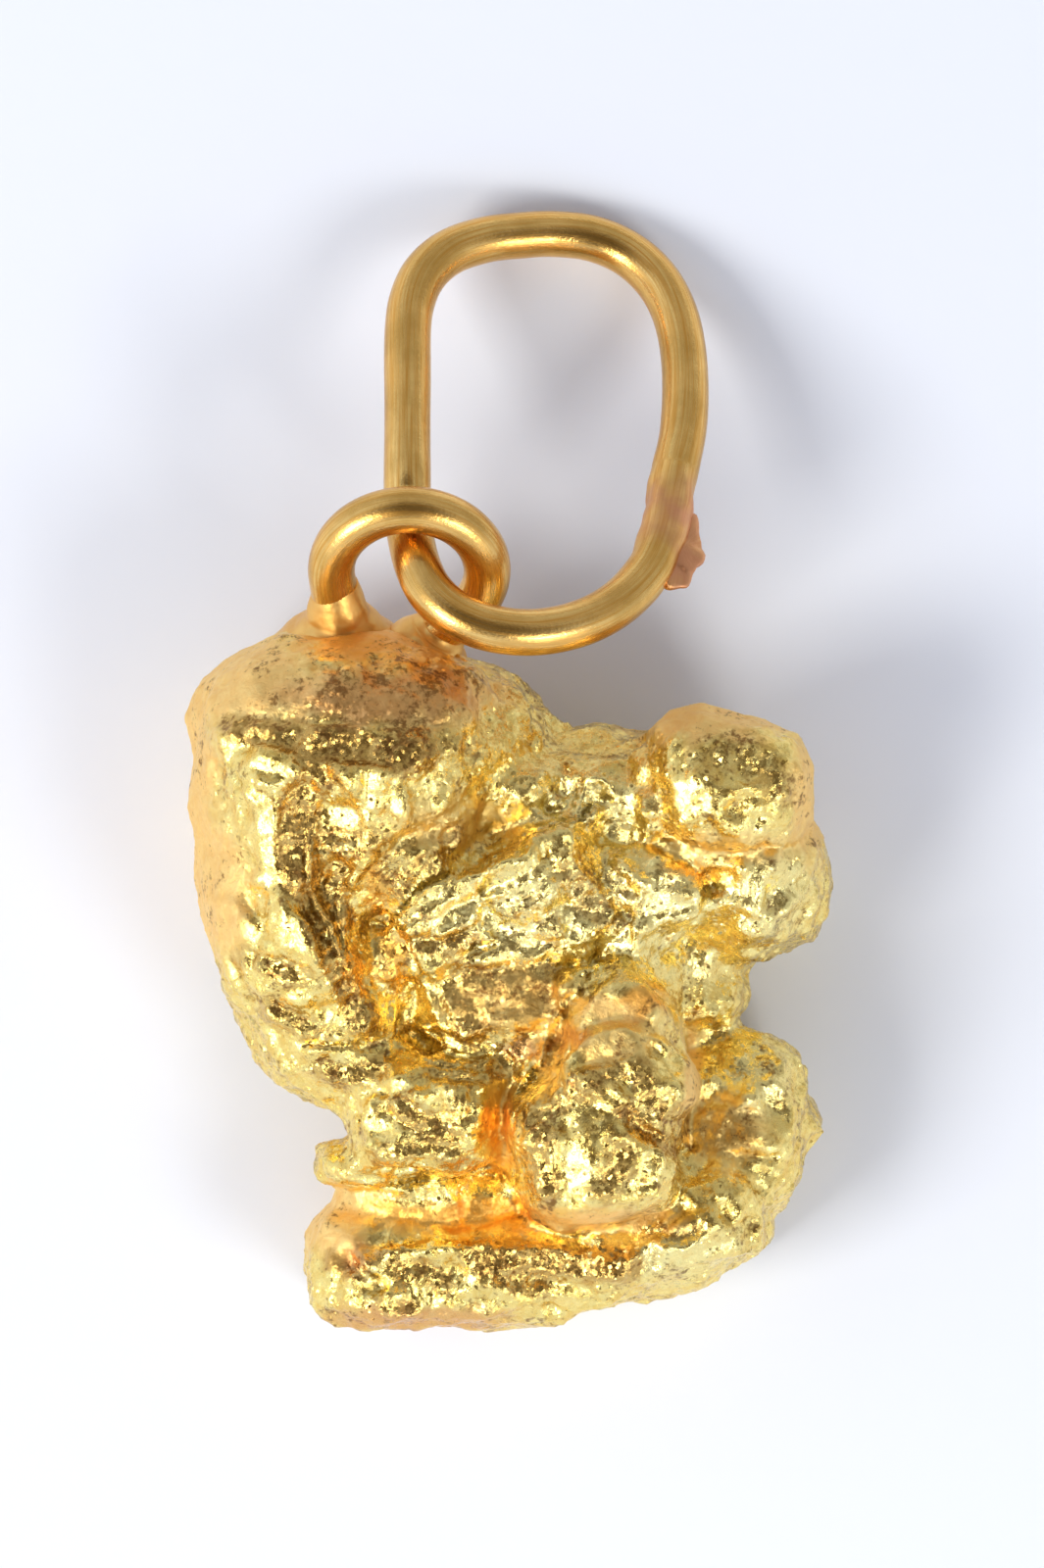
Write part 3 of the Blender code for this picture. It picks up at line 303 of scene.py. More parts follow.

# Shaded strips: the strength of their painted shade, a darker gold where the faces look up into the dim air,
# half their width and their line
STRIPS = lines(
    # Band under the shoulder's crown
    (0.9, 0.26, -5.95, 0.92, -5.2, 0.72, -4.6, 0.6),
    (1, 0.36, -4.3, 0.52, -3.2, 0.45, -2.4, 0.32, -1.8, 0.34),
    (0.7, 0.2, -1.7, 0.42, -1.1, 0.52, -0.7, 0.48),
    # Roof
    (0.9, 0.34, -4.05, 0, -4.3, -0.45, -4.55, -0.9), (1, 0.42, -4.55, -1, -4.58, -1.8, -4.48, -2.5),
    (0.85, 0.28, -4.22, -3, -3.98, -3.7, -3.7, -4.4, -3.35, -5.1, -3.05, -5.7),
    # Left flank
    (0.7, 0.24, -5.7, -4.2, -5.1, -4.35, -4.55, -4.6), (0.7, 0.24, -5.2, -5.35, -4.6, -5.55, -4.05, -6),
    # Between roof and plate
    (0.9, 0.24, -3.55, -2.15, -3.75, -2.75, -3.62, -3.4), (0.6, 0.3, -2.3, -1.85, -1.7, -1.55, -1, -1.55),
    (0.8, 0.26, -3.9, -1.55, -3.3, -1.75, -2.8, -1.5),
    # Plate
    (0.8, 0.22, -2.35, -2.65, -1.95, -2.25, -1.45, -2.05),
    (0.8, 0.2, -1.95, -3.95, -1.35, -3.95, -0.75, -3.75), (0.6, 0.18, -0.1, -3.15, 0.7, -2.85),
    # Dull middle
    (0.8, 0.32, -0.9, -4.65, 0, -4.75, 0.9, -4.6), (0.8, 0.34, -0.95, -5.1, -0.7, -5.8),
    (0.8, 0.36, 0.5, -5.25, 1.05, -5.1), (0.7, 0.26, -1.6, -6.6, -0.9, -6.75, 0.1, -6.6, 0.6, -5.9),
    # Right of the plate
    (0.7, 0.28, 1.35, -2.2, 1.8, -2.9, 2.3, -3.35), (0.6, 0.22, 2.45, -2.4, 2.8, -2.95),
    (0.6, 0.2, 1.05, -3.35, 1, -3.75),
    # Upper knob
    (0.55, 0.42, 4.55, 0.25, 5.2, 0.35, 5.6, 0.05), (0.7, 0.24, 5.85, -0.25, 6.15, -0.6),
    # Front knob
    (0.9, 0.26, 0.55, -7.65, 0.85, -8.15), (0.8, 0.28, 2.2, -9.2, 2.55, -8.85, 2.6, -8.35),
    (0.9, 0.26, 0.6, -8.6, 0.95, -9.35), (1, 0.16, 2.6, -7.5, 3.1, -7.95, 3.7, -8.4),
    (0.8, 0.28, 1.15, -7.35, 1.75, -7, 2.5, -6.55), (0.8, 0.28, 2.95, -6.6, 3.2, -7.2, 3.7, -7.6),
    # Arm
    (0.8, 0.26, -3.9, -6.7, -3.2, -6.85, -2.8, -6.6), (0.8, 0.26, -2.3, -7.45, -1.75, -7.8, -1.2, -8.1),
    (0.7, 0.22, -2.75, -8.55, -2, -8.35, -1, -8.55),
    # Foot
    (1, 0.34, -0.6, -10.8, 0.5, -10.9, 1.5, -10.95, 2.7, -11), (0.9, 0.26, -3.8, -10.9, -3.4, -10.98),
    (0.8, 0.22, -2.45, -10.75, -2.15, -11.2), (0.8, 0.22, -1.75, -11.05, -1.3, -11.55),
    (0.8, 0.24, 0.2, -11.3, 0.95, -11.5), (0.7, 0.2, -2.7, -11.95, -1.9, -12),
    # Lower right
    (0.7, 0.42, 4.3, -7.95, 5.1, -8.2), (0.8, 0.28, 2.8, -10, 3.9, -10.1),
)

# Beaten and broken faces on top
FACES = faces(
    # Shoulder's corner and roof
    (-5.95, 0.4, 0.55, 0.38, -25), (-5.15, 0.02, 0.7, 0.25, -10), (-6.45, -0.1, 0.22, 0.32, 10),
    (-5.22, -1.6, 0.24, 1.05, 4), (-5.5, -0.6, 0.3, 0.2, -20), (-4.75, -0.12, 0.32, 0.16, -30),
    # Between roof and plate
    (-3.5, -1.15, 0.4, 0.32, -20), (-2.9, -0.5, 0.24, 0.5, 10), (-2.35, -0.7, 0.24, 0.5, 18),
    # Left flank
    (-4.7, -3.6, 0.8, 0.34, -45), (-5.25, -2.45, 0.28, 0.26, 0), (-5.6, -3.6, 0.25, 0.42, 25),
    (-6, -4.6, 0.22, 0.5, 20, (0.45, 0.1)), (-4.6, -5, 0.34, 0.2, -20), (-5.3, -4.8, 0.28, 0.2, 0),
    (-3.9, -5.45, 0.24, 0.24, 0), (-4.3, -6.2, 0.3, 0.18, 0),
    # Plate
    (-1.2, -3.1, 1.05, 0.26, 30, LIT_RIGHT), (0.1, -2.35, 0.7, 0.24, 32), (0.58, -2.2, 0.18, 0.6, -8),
    (0.1, -4.05, 0.9, 0.22, 16, LIT_RIGHT), (-1.35, -5.98, 0.62, 0.14, -30), (-1.7, -4.8, 0.16, 0.3, 0),
    # Right side and bridge
    (3.4, -3, 0.55, 0.25, 0, LIT_RIGHT), (1.6, -3.55, 0.22, 0.2, 0), (2.7, -3.95, 0.28, 0.16, 0),
    (2.05, -0.35, 0.28, 0.2, 0), (2.65, -1.5, 0.4, 0.24, 0), (2.8, -0.9, 0.22, 0.32, 0),
    (1.05, -0.85, 0.26, 0.2, 0), (5.5, -2.7, 0.22, 0.4, 10), (5.45, -3.5, 0.35, 0.22, 0, LIT_RIGHT),
    # Tongue
    (2.55, -5.35, 1.1, 0.6, 14, (0.15, -0.06)),
    # Upper knob
    (4.15, -0.65, 0.52, 0.42, 0), (5.25, -0.9, 0.42, 0.22, 10),
    # Front knob
    (1.6, -8.7, 0.42, 0.62, 8), (2.2, -6.1, 0.85, 0.4, 20, (0.16, -0.02)), (3.4, -6.15, 0.26, 0.2, -20),
    (2.4, -7.28, 0.2, 0.3, 30), (3.35, -8.6, 0.2, 0.18, 0), (2.1, -7.8, 0.8, 0.25, -30, (0.1, -0.1)),
    # Arm
    (-2.3, -7, 0.35, 0.2, 0), (-3, -7.85, 0.32, 0.16, 0), (-2.5, -8.6, 0.18, 0.48, -15),
    (-1.05, -7.6, 0.16, 0.5, -20), (-3.2, -9.1, 0.45, 0.18, 0, LIT_RIGHT),
    # Foot
    (-3.05, -11.4, 0.5, 0.22, -10, LIT_RIGHT), (-2, -11.4, 0.16, 0.32, 0), (-0.6, -11.2, 0.14, 0.34, 10),
    (1.6, -11.6, 0.4, 0.22, 10, LIT_RIGHT), (3.3, -11, 0.3, 0.36, 10),
    (4, -10.2, 0.35, 0.22, 20, LIT_RIGHT), (5, -9.8, 0.3, 0.3, 30),
    # Lower right
    (4, -9.55, 0.26, 0.3, 0), (6, -7.3, 0.3, 0.45, 10, (-0.1, 0.2)),
)

# Patches as middle X, Y and half sizes X, Y. The skin is smooth where it is calm, half smooth where it is
# soft, and has less relief where it is dull or under painted shade, which also paints the gold darker there.
# Specks are of oxide, the painted glow is painted orange light bounced between facing folds, and pale and
# rust are colours
PATCHES = {
    "soft": [(-2.7, 1.7, 2.1, 0.8), (2.4, -5.65, 1.1, 0.7), (5, -1.75, 1.5, 0.25), (-0.9, -1.2, 1.3, 0.5),
             (-0.6, -10, 2.5, 0.35), (1, -6.3, 0.35, 0.9), (-0.05, -8, 0.3, 0.9)],
    "specks": [(-2.6, 1.6, 2, 0.85)],
    "calm": [(-5.8, 2, 1.5, 1), (-2.9, 2.9, 1.8, 0.4), (-6.95, -0.8, 0.55, 3.6), (-6.3, -2.7, 0.65, 1.4),
             (2.5, -5.3, 0.8, 0.3), (-3.8, -10.1, 0.7, 0.8), (4.6, 1.1, 1.8, 0.45),
             (6.75, -0.6, 0.45, 1.2), (2.6, -9.95, 1.3, 0.22), (4.15, -6.7, 0.22, 0.9)],
    # Painted glow: orange of light bounced between facing folds, in the cleft, the pool, the crevices and
    # beside the solder feet
    "painted_glow": [(3.05, -5.1, 0.5, 0.25), (-0.05, -8.1, 0.28, 0.8), (-0.8, -9.9, 2.2, 0.28),
              (-2.8, -2.6, 0.25, 0.55), (-2.5, -4.2, 0.3, 0.6), (-3.25, -4.5, 0.15, 0.45),
              (4.3, -2.3, 0.7, 0.2), (-2.9, 2.8, 1.5, 0.25), (-1.8, 2.55, 0.7, 0.3)],
    "rust": [(1.4, -5.95, 0.35, 0.25), (-2.5, 1.55, 2.1, 0.55), (-3.3, -10.9, 0.3, 0.3),
             (-2, -12.25, 1.9, 0.3), (0.4, -6.15, 0.4, 0.25)],
    # Painted shade: patches where the gold is painted darker, as if facing up into the dim air
    "painted_shade": [(-2.7, 1.45, 1.9, 0.6), (0.1, -5.2, 1.2, 0.55)],
    "pale": [(0.5, -3.2, 1.9, 1), (3.3, -3.2, 1.9, 1.3), (5.9, -2.6, 0.8, 1), (5.5, -6.7, 0.8, 0.8),
             (3.4, -10.7, 1.6, 0.6), (1.8, -0.8, 1.3, 0.7)],
    "dull": [(0.1, -5.15, 1.2, 0.55), (4.9, -8, 0.8, 0.7), (2.2, -6.1, 0.8, 0.3), (-1.1, -1.4, 0.8, 0.3)],
}


def linear(hex_colour):
    """A screen colour such as #F0C060 as linear red, green, blue and 1."""
    parts = [int(hex_colour[i:i + 2], 16) / 255 for i in (1, 3, 5)]
    return [c / 12.92 if c <= 0.04045 else ((c + 0.055) / 1.055) ** 2.4 for c in parts] + [1.0]


def per_mm(size):
    """The scale of a pattern on Object coordinates whose features are that many millimetres apart."""
    return 1.0 / (size * MM)


def add_node(tree, kind, inputs=(), output=0, **settings):
    """Add a shader node with its settings and give back one of its outputs, where it has any.

    Its inputs are numbers or other nodes' outputs, by name or in order.
    """
    node = tree.nodes.new("ShaderNode" + kind)
    for key, value in settings.items():
        setattr(node, key, value)
    for key, value in inputs.items() if isinstance(inputs, dict) else enumerate(inputs):
        if isinstance(value, bpy.types.NodeSocket):
            tree.links.new(value, node.inputs[key])
        else:
            node.inputs[key].default_value = value
    return node.outputs[output] if len(node.outputs) else None


def new_material(name):
    """An empty node material, add_node for its tree, and the place on the object that its patterns read."""
    material = bpy.data.materials.new(name)
    material.use_nodes = True
    material.node_tree.nodes.clear()
    add = partial(add_node, material.node_tree)
    return material, add, add("TexCoord", output="Object")


def unit(vectors):
    """Rows of an array brought to length 1."""
    return vectors / np.maximum(np.linalg.norm(vectors, axis=-1, keepdims=True), 1e-12)


def turned(axis, degrees):
    """The matrix that turns rows of X, Y, Z about one axis, anticlockwise as seen against it."""
    angle = math.radians(degrees)
    first, second = (axis + 1) % 3, (axis + 2) % 3
    matrix = np.eye(3)
    matrix[first, first] = matrix[second, second] = math.cos(angle)
    matrix[first, second] = math.sin(angle)
    matrix[second, first] = -math.sin(angle)
    return matrix


def surface(rings, closed=False):
    """Skin over a grid of points: rings[i, j] is step i along the piece and step j around it.

    Four neighbours make a face. A closed piece joins its last ring to its first, and an open one
    ends in a fan to the middle of each end ring. Around is anticlockwise seen along the path.
    """
    count, sides = rings.shape[:2]
    points = rings.reshape(-1, 3)
    first = np.arange(count if closed else count - 1)[:, None]
    side = np.arange(sides)
    beside = (side + 1) % sides
    here, after = first * sides, (first + 1) % count * sides
    quads = np.stack([here + side, here + beside, after + beside, after + side], axis=-1).reshape(-1, 4)
    if closed:
        return points, quads, quads[:0]
    start, last = len(points), (count - 1) * sides
    fans = np.concatenate([np.stack([np.full(sides, start), beside, side], axis=-1),
                           np.stack([np.full(sides, start + 1), last + side, last + beside], axis=-1)])
    return np.concatenate([points, [rings[0].mean(axis=0), rings[-1].mean(axis=0)]]), quads, fans


def new_mesh(name, surfaces):
    """Several surfaces as one mesh, without joining what touches."""
    corners, start = [], 0
    for points, quads, fans in surfaces:
        corners += (quads + start).tolist() + (fans + start).tolist()
        start += len(points)
    mesh = bpy.data.meshes.new(name)
    mesh.from_pydata(np.concatenate([points for points, _, _ in surfaces]).tolist(), [], corners)
    mesh.update()
    return mesh


def tube_rings(path, radii, sides, reference, closed=False):
    """A round profile carried along a path.

    Point(i, j) = path(i) + radius(i, j) * (cos(a_j) * side(i) + sin(a_j) * up(i)), where
    a_j = 2 pi j / sides, side = reference x tangent and up = tangent x side. radii is one number a ring,
    or one a point.
    """
    tangent = np.roll(path, -1, axis=0) - np.roll(path, 1, axis=0) if closed else np.gradient(path, axis=0)
    tangent = unit(tangent)
    sideways = unit(np.cross(np.broadcast_to(reference, tangent.shape), tangent))
    upwards = np.cross(tangent, sideways)
    angle = np.linspace(0.0, 2 * math.pi, sides, endpoint=False)
    out = np.cos(angle)[None, :, None] * sideways[:, None] + np.sin(angle)[None, :, None] * upwards[:, None]
    return path[:, None] + radii.reshape(len(path), -1)[..., None] * out


def smooth_path(points, samples, closed=False):
    """Even steps along a Catmull-Rom curve through the points, and how far along each lies.

    Between b and c, at t from 0 to 1: half of 2b + (c - a)t + (2a - 5b + 4c - d)t^2 + (3b - a - 3c + d)t^3.
    """
    points = np.array(points, float)
    count = len(points)
    order = np.arange(count if closed else count - 1)
    a, b, c, d = (points[(order + k) % count if closed else np.clip(order + k, 0, count - 1)][:, None]
                  for k in (-1, 0, 1, 2))
    t = np.linspace(0.0, 1.0, CURVE_STEPS, endpoint=False)[None, :, None]
    fine = 0.5 * (2 * b + (c - a) * t + (2 * a - 5 * b + 4 * c - d) * t ** 2
                  + (3 * b - a - 3 * c + d) * t ** 3)
    fine = np.concatenate([fine.reshape(-1, 3), points[:1] if closed else points[-1:]])
    run = np.concatenate([[0.0], np.cumsum(np.linalg.norm(np.diff(fine, axis=0), axis=1))])
    wanted = np.linspace(0.0, run[-1], samples, endpoint=not closed)
    return np.stack([np.interp(wanted, run, fine[:, axis]) for axis in range(3)], axis=1), wanted


def lattice_draws(cube, seed, count):
    """Repeatable numbers from -1 to 1 for each cube of a lattice, from its place and the seed."""
    mixed = np.bitwise_xor.reduce(cube * PLACE_MIX, axis=1) ^ (seed * SEED_MIX)
    draws = []
    for _ in range(count):
        mixed = (mixed * DRAW_FACTOR + DRAW_STEP) & DRAW_MASK
        draws.append(((mixed >> 8) & 0xFFFF) / 32767.5 - 1.0)
    return draws


def lattice_noise(points, cell, seed):
    """Gradient noise, about -1 to 1: each cube corner has its own slope, blended smoothly between."""
    scaled = points / cell
    base = np.floor(scaled)
    part = scaled - base
    fade = part ** 3 * (part * (part * 6 - 15) + 10)
    total = np.zeros(len(points))
    for corner in product((0, 1), repeat=3):
        slopes = lattice_draws((base + corner).astype(np.int64), seed, 3)
        weight = np.prod(np.where(corner, fade, 1 - fade), axis=1)
        for axis in range(3):
            total += weight * slopes[axis] * (part[:, axis] - corner[axis])
    return total * NOISE_GAIN


def wandering(points, reach, cell, seed):
    """The points moved about by slow noise, so that the edge of what is laid on them wanders."""
    moves = [lattice_noise(points, cell, NOISE_SEED + seed + k) for k in range(3)]
    return points + reach * np.stack(moves, axis=1)


def ridged(points, cell, seed):
    """Sharp folds: 1 along the lines where the noise passes zero, falling to about -1 between them."""
    return 1.0 - 2.0 * np.abs(lattice_noise(points, cell, seed))


def facets(points, cell, seed, sharpness):
    """Flat facets with small ledges between them.

    Each cube of the lattice holds one site with a random slope and level. A point takes the plane
    level + slope . (point - site) of its nearest site, and sharpness sets how quickly one plane gives
    way to the next: weight = exp(-sharpness * (distance^2 - least distance^2)).
    """
    scaled = points / cell
    base = np.floor(scaled)
    gaps, planes = [], []
    for offset in product((-1, 0, 1), repeat=3):
        cube = (base + offset).astype(np.int64)
        draws = lattice_draws(cube, seed, 7)
        away = scaled - (cube + 0.5 + SITE_SPREAD * np.stack(draws[:3], axis=1))
        gaps.append((away ** 2).sum(axis=1))
        planes.append(LEVEL_SPREAD * draws[6] + (away * np.stack(draws[3:6], axis=1)).sum(axis=1))
    gaps = np.stack(gaps)
    weight = np.exp(-sharpness * (gaps - gaps.min(axis=0)))
    return (weight * np.stack(planes)).sum(axis=0) / weight.sum(axis=0)


def folded_facets(points, cell, seed, sharpness):
    """Long facets that run three ways, each way where its own slow noise is the highest.

    Each way's facets are worked out on points whose place along it is shortened, so they run long that way.
    The sum of weight_k * facets_k, with weight_k = exp(8 noise_k) over the sum of the three.
    """
    weights, layers = [], []
    for way, degrees in enumerate(FOLD_WAYS):
        along = turned(2, degrees)[0]
        squeezed = points - (1 - 1 / FOLD_STRETCH) * (points @ along)[:, None] * along
        weights.append(np.exp(8.0 * lattice_noise(points, 1.7, seed + 40 + way)))
        layers.append(facets(squeezed, cell, seed + way, sharpness))
    weights = np.stack(weights)
    return (weights / weights.sum(axis=0) * np.stack(layers)).sum(axis=0)


def line_profile(points, line):
    """From above: 1 on the line falling straight to 0 at its reach, and 1 to its left and -1 to its right."""
    flat = points[:, :2]
    nearest = np.full(len(points), np.inf)
    side = np.zeros(len(points))
    for start, end in zip(line.points, line.points[1:]):
        along = end - start
        share = np.clip((flat - start) @ along / (along @ along), 0.0, 1.0)
        gap = flat - start - share[:, None] * along
        length = np.linalg.norm(gap, axis=1)
        side = np.where(length < nearest, np.sign(gap @ np.array([-along[1], along[0]])), side)
        nearest = np.minimum(nearest, length)
    return np.clip(1.0 - nearest / line.reach, 0.0, 1.0), side


def lump_rings(lump):
    """A squared ellipsoid: direction (sin p cos a, sin p sin a, cos p) times the half sizes, over its
    length in the power of its squareness, leant about its own X and then turned about Z."""
    polar = np.linspace(0.02, math.pi - 0.02, LUMP_GRID[0])[:, None]
    around = np.linspace(0.0, 2 * math.pi, LUMP_GRID[1], endpoint=False)[None, :]
    direction = np.stack(np.broadcast_arrays(np.sin(polar) * np.cos(around), np.sin(polar) * np.sin(around),
                                             np.cos(polar)), axis=-1)
    size = (np.abs(direction) ** lump.squareness).sum(axis=-1, keepdims=True) ** (1 / lump.squareness)
    return direction * lump.radii / size @ turned(0, lump.lean) @ turned(2, lump.turn) + lump.centre


def evaluated_copy(mesh, modifiers):
    """The mesh with (kind, settings) modifiers worked out on it."""
    holder = bpy.data.objects.new("holder", mesh)
    bpy.context.scene.collection.objects.link(holder)
    for kind, settings in modifiers:
        modifier = holder.modifiers.new(kind.lower(), kind)
        for key, value in settings.items():
            setattr(modifier, key, value)
    result = bpy.data.meshes.new_from_object(holder.evaluated_get(bpy.context.evaluated_depsgraph_get()))
    bpy.data.objects.remove(holder)
    return result


def mesh_points(mesh):
    """The mesh's points and their normals as arrays."""
    both = np.empty((2, len(mesh.vertices) * 3), np.float32)
    mesh.vertices.foreach_get("co", both[0])
    mesh.vertex_normals.foreach_get("vector", both[1])
    return both.reshape(2, -1, 3).astype(float)


def move_points(mesh, points):
    """Write an array of points back into the mesh."""
    mesh.vertices.foreach_set("co", points.astype(np.float32).ravel())
    mesh.update()


def point_attribute(mesh, name, values):
    """One number a point, for the materials to read."""
    mesh.attributes.new(name, "FLOAT", "POINT").data.foreach_set("value", values.astype(np.float32))


def finish_piece(mesh, name, body, node, material):
    """Scale a mesh from millimetres, shade it smooth and put it in the place of its CAD node."""
    move_points(mesh, mesh_points(mesh)[0] * MM)
    mesh.name = name
    mesh.shade_smooth()
    piece = bpy.data.objects.new(name, mesh)
    bpy.context.scene.collection.objects.link(piece)
    mesh.materials.clear()
    mesh.materials.append(material)
    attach(piece, body)
    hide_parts(node)


def finish_wire(look, name, body, node, rings, closed, radius, lengths, stain):
    """A piece of wire that knows its heat stain and each point's place in the straightened wire: across it in
    X and Y and along it in Z, in millimetres."""
    mesh = new_mesh(name, [surface(rings, closed)])
    count, sides = rings.shape[:2]
    angle = np.linspace(0.0, 2 * math.pi, sides, endpoint=False)
    place = np.zeros((len(mesh.vertices), 3), np.float32)
    place[:, 2] = lengths[-1]
    place[:count * sides] = np.stack(np.broadcast_arrays(radius * np.cos(angle), radius * np.sin(angle),
                                                         lengths[:, None]), axis=-1).reshape(-1, 3)
    mesh.attributes.new("wire_place", "FLOAT_VECTOR", "POINT").data.foreach_set("vector", place.ravel())
    point_attribute(mesh, "stain", np.broadcast_to(stain, len(mesh.vertices)))
    material = bpy.data.materials.get("gold_wire_drawn") or gold_wire(look)
    finish_piece(mesh, name, body, node, material)


def patch_shares(points):
    """For each kind of patch, 1 in the middle of its patches and 0 outside them, with a wandering edge."""
    flat = wandering(points, 0.30, 0.55, 60)[:, :2]
    shares = {}
    for kind, patches in PATCHES.items():
        away = [np.linalg.norm((flat - patch[:2]) / patch[2:], axis=1) for patch in patches]
        shares[kind] = np.clip(PATCH_EDGE * (PATCH_RIM - np.min(away, axis=0)), 0.0, 1.0)
    shares["matte"] = np.maximum(shares["calm"], 0.5 * shares["soft"])
    return shares


def crumple(mesh):
    """Push the skin in and out in lumps and folded ridges, as hammered and tumbled soft metal."""
    points, normals = mesh_points(mesh)
    bulges = lattice_noise(points, 1.7, NOISE_SEED)
    ridges = ridged(points, 1.05, NOISE_SEED + 1) - 0.5
    ripples = ridged(points, 0.62, NOISE_SEED + 2) - 0.5
    lively = 1.0 - 0.75 * patch_shares(points)["matte"]
    push = BULGE_HEIGHT * bulges + lively * (RIDGE_HEIGHT * ridges + RIPPLE_HEIGHT * ripples)
    move_points(mesh, points + normals * push[:, None])


def crease_upper_side(mesh, creases):
    """Press the crevices in and raise the ridges on the side that faces up."""
    points, normals = mesh_points(mesh)
    upper = np.clip((normals[:, 2] + 0.1) / 0.5, 0.0, 1.0)
    height = np.zeros(len(points))
    for crease in creases:
        profile, _ = line_profile(points, crease)
        if crease.height < 0:
            profile = profile * profile * (3 - 2 * profile)
        height += crease.height * profile
    points[:, 2] += upper * height
    move_points(mesh, points)


def strip_faces():
    """The chain of small faces along each shaded strip."""
    chain = []
    for strip in STRIPS:
        for start, end in zip(strip.points, strip.points[1:]):
            run = math.dist(start, end)
            count = max(1, round(run / (STRIP_STEP * strip.reach)))
            turn = math.degrees(math.atan2(end[1] - start[1], end[0] - start[0]))
            radii = (0.75 * run / count, strip.reach)
            chain += [Face(start * (1 - part) + end * part, radii, turn, DARK)
                      for part in (np.arange(count) + 0.5) / count]
    return chain


def flatten_faces(mesh):
    """Bring the upper skin inside each ellipse towards its own plane, and give back where a lit face lies.

    z' = z + share * (middle height + rise . (x, y) - z), share = 1 up to near the rim of the ellipse.
    """
    points, normals = mesh_points(mesh)
    upper = np.clip((normals[:, 2] - 0.15) / 0.4, 0.0, 1.0)
    lit = np.zeros(len(points))
    for face in strip_faces() + FACES:
        away = points[:, :2] - face.centre
        reach = np.linalg.norm(away @ turned(2, -face.turn)[:2, :2] / face.radii, axis=1)
        share = np.clip(FACE_EDGE * (FACE_RIM - reach), 0.0, 1.0) * upper
        core = share > FACE_CORE
        if core.any():
            level = np.median(points[core, 2]) + away @ np.array(face.rise)
            points[:, 2] += FACE_PULL * share * np.clip(level - points[:, 2], -FACE_DEPTH, FACE_DEPTH)
            if face.rise != DARK:
                lit = np.maximum(lit, share)
    move_points(mesh, points)
    return lit


def step_ledges(mesh):
    """Raise the left of each ledge and lower its right, on the side that faces up."""
    points, normals = mesh_points(mesh)
    upper = np.clip((normals[:, 2] - 0.1) / 0.4, 0.0, 1.0)
    wander = wandering(points, 0.12, 0.6, 70)
    for ledge in LEDGES:
        profile, side = line_profile(wander, ledge)
        points[:, 2] += upper * ledge.height * (side * profile)
    move_points(mesh, points)


def strip_share(points):
    """The strength of the painted shade, a darker gold, on the shaded strips, with a wandering edge."""
    wander = wandering(points, 0.14, 0.5, 80)
    share = np.zeros(len(points))
    for strip in STRIPS:
        profile, _ = line_profile(wander, strip._replace(reach=PAINTED_SHADE_REACH * strip.reach))
        share = np.maximum(share, strip.height * np.clip(PAINTED_SHADE_EDGE * profile, 0.0, 1.0))
    return share


def fine_relief(mesh, strength, lit):
    """Foil-like facets, folds, grains and pits on the finished skin, quieter on its matte and flat parts.

    Each is a noise times its height in millimetres, along the normal. The shares that the material reads
    are kept with the points.
    """
    points, normals = mesh_points(mesh)
    shares = patch_shares(points)
    warped = wandering(points, 0.16, 0.8, 20)
    large = folded_facets(warped, 0.72, NOISE_SEED + 3, 20.0)
    middle = folded_facets(warped, 0.34, NOISE_SEED + 4, 16.0)
    folds = ridged(warped, 0.42, NOISE_SEED + 5)
    grain = lattice_noise(points, 0.21, NOISE_SEED + 6)
    pits = np.clip(lattice_noise(points, 0.30, NOISE_SEED + 7) - 0.42, 0.0, 1.0)
    small = facets(warped, 0.27, NOISE_SEED + 8, 12.0)
    matte = shares["matte"]
    # Painted shade share: the gold is painted darker there, and the relief is quieter
    painted_shade = np.maximum(0.48 * shares["painted_shade"], strip_share(points))
    quiet = (1 - 0.5 * lit) * (1 - 0.60 * painted_shade) * (1 - 0.35 * shares["dull"])
    rough = quiet * (0.11 * large + 0.05 * middle) + 0.016 * small + 0.020 * folds + 0.006 * grain
    rough -= 0.03 * pits
    calm = 0.02 * large + 0.015 * middle + 0.012 * small + 0.015 * folds + 0.010 * grain - 0.05 * pits
    calm += shares["specks"] * (0.035 * middle + 0.025 * folds + 0.012 * grain)
    push = strength * (rough * (1 - matte) + calm * matte)
    points = points + normals * push[:, None]
    points[:, 2] = np.maximum(points[:, 2], 0.0)
    move_points(mesh, points)
    after = patch_shares(points)
    # Painted light on the floors of the deep crevices
    deep = [line_profile(points, crease)[0] for crease in CREASES if crease.height < -CREVICE_LIGHT_DEPTH]
    known = {"matte": np.maximum(matte, 0.6 * after["dull"]), "pale": after["pale"], "painted_shade": painted_shade,
             "specks": shares["specks"], "face": lit, "rust": after["rust"], "painted_glow": after["painted_glow"],
             "crevice": np.max(deep, axis=0)}
    for name, share in known.items():
        point_attribute(mesh, name, share)


def burr_rings():
    """A thin squared plate: the lump formula, its rim moved by noise, leant with the link."""
    rings = lump_rings(BURR)[::-1]
    points = rings.reshape(-1, 3)
    points = points * (1.0 + BURR_RAGGED * lattice_noise(points, 0.35, NOISE_SEED + 60))[:, None]
    for axis, degrees in enumerate(BURR_LEAN):
        points = points @ turned(axis, degrees)
    return (points + BURR_CENTRE).reshape(rings.shape)


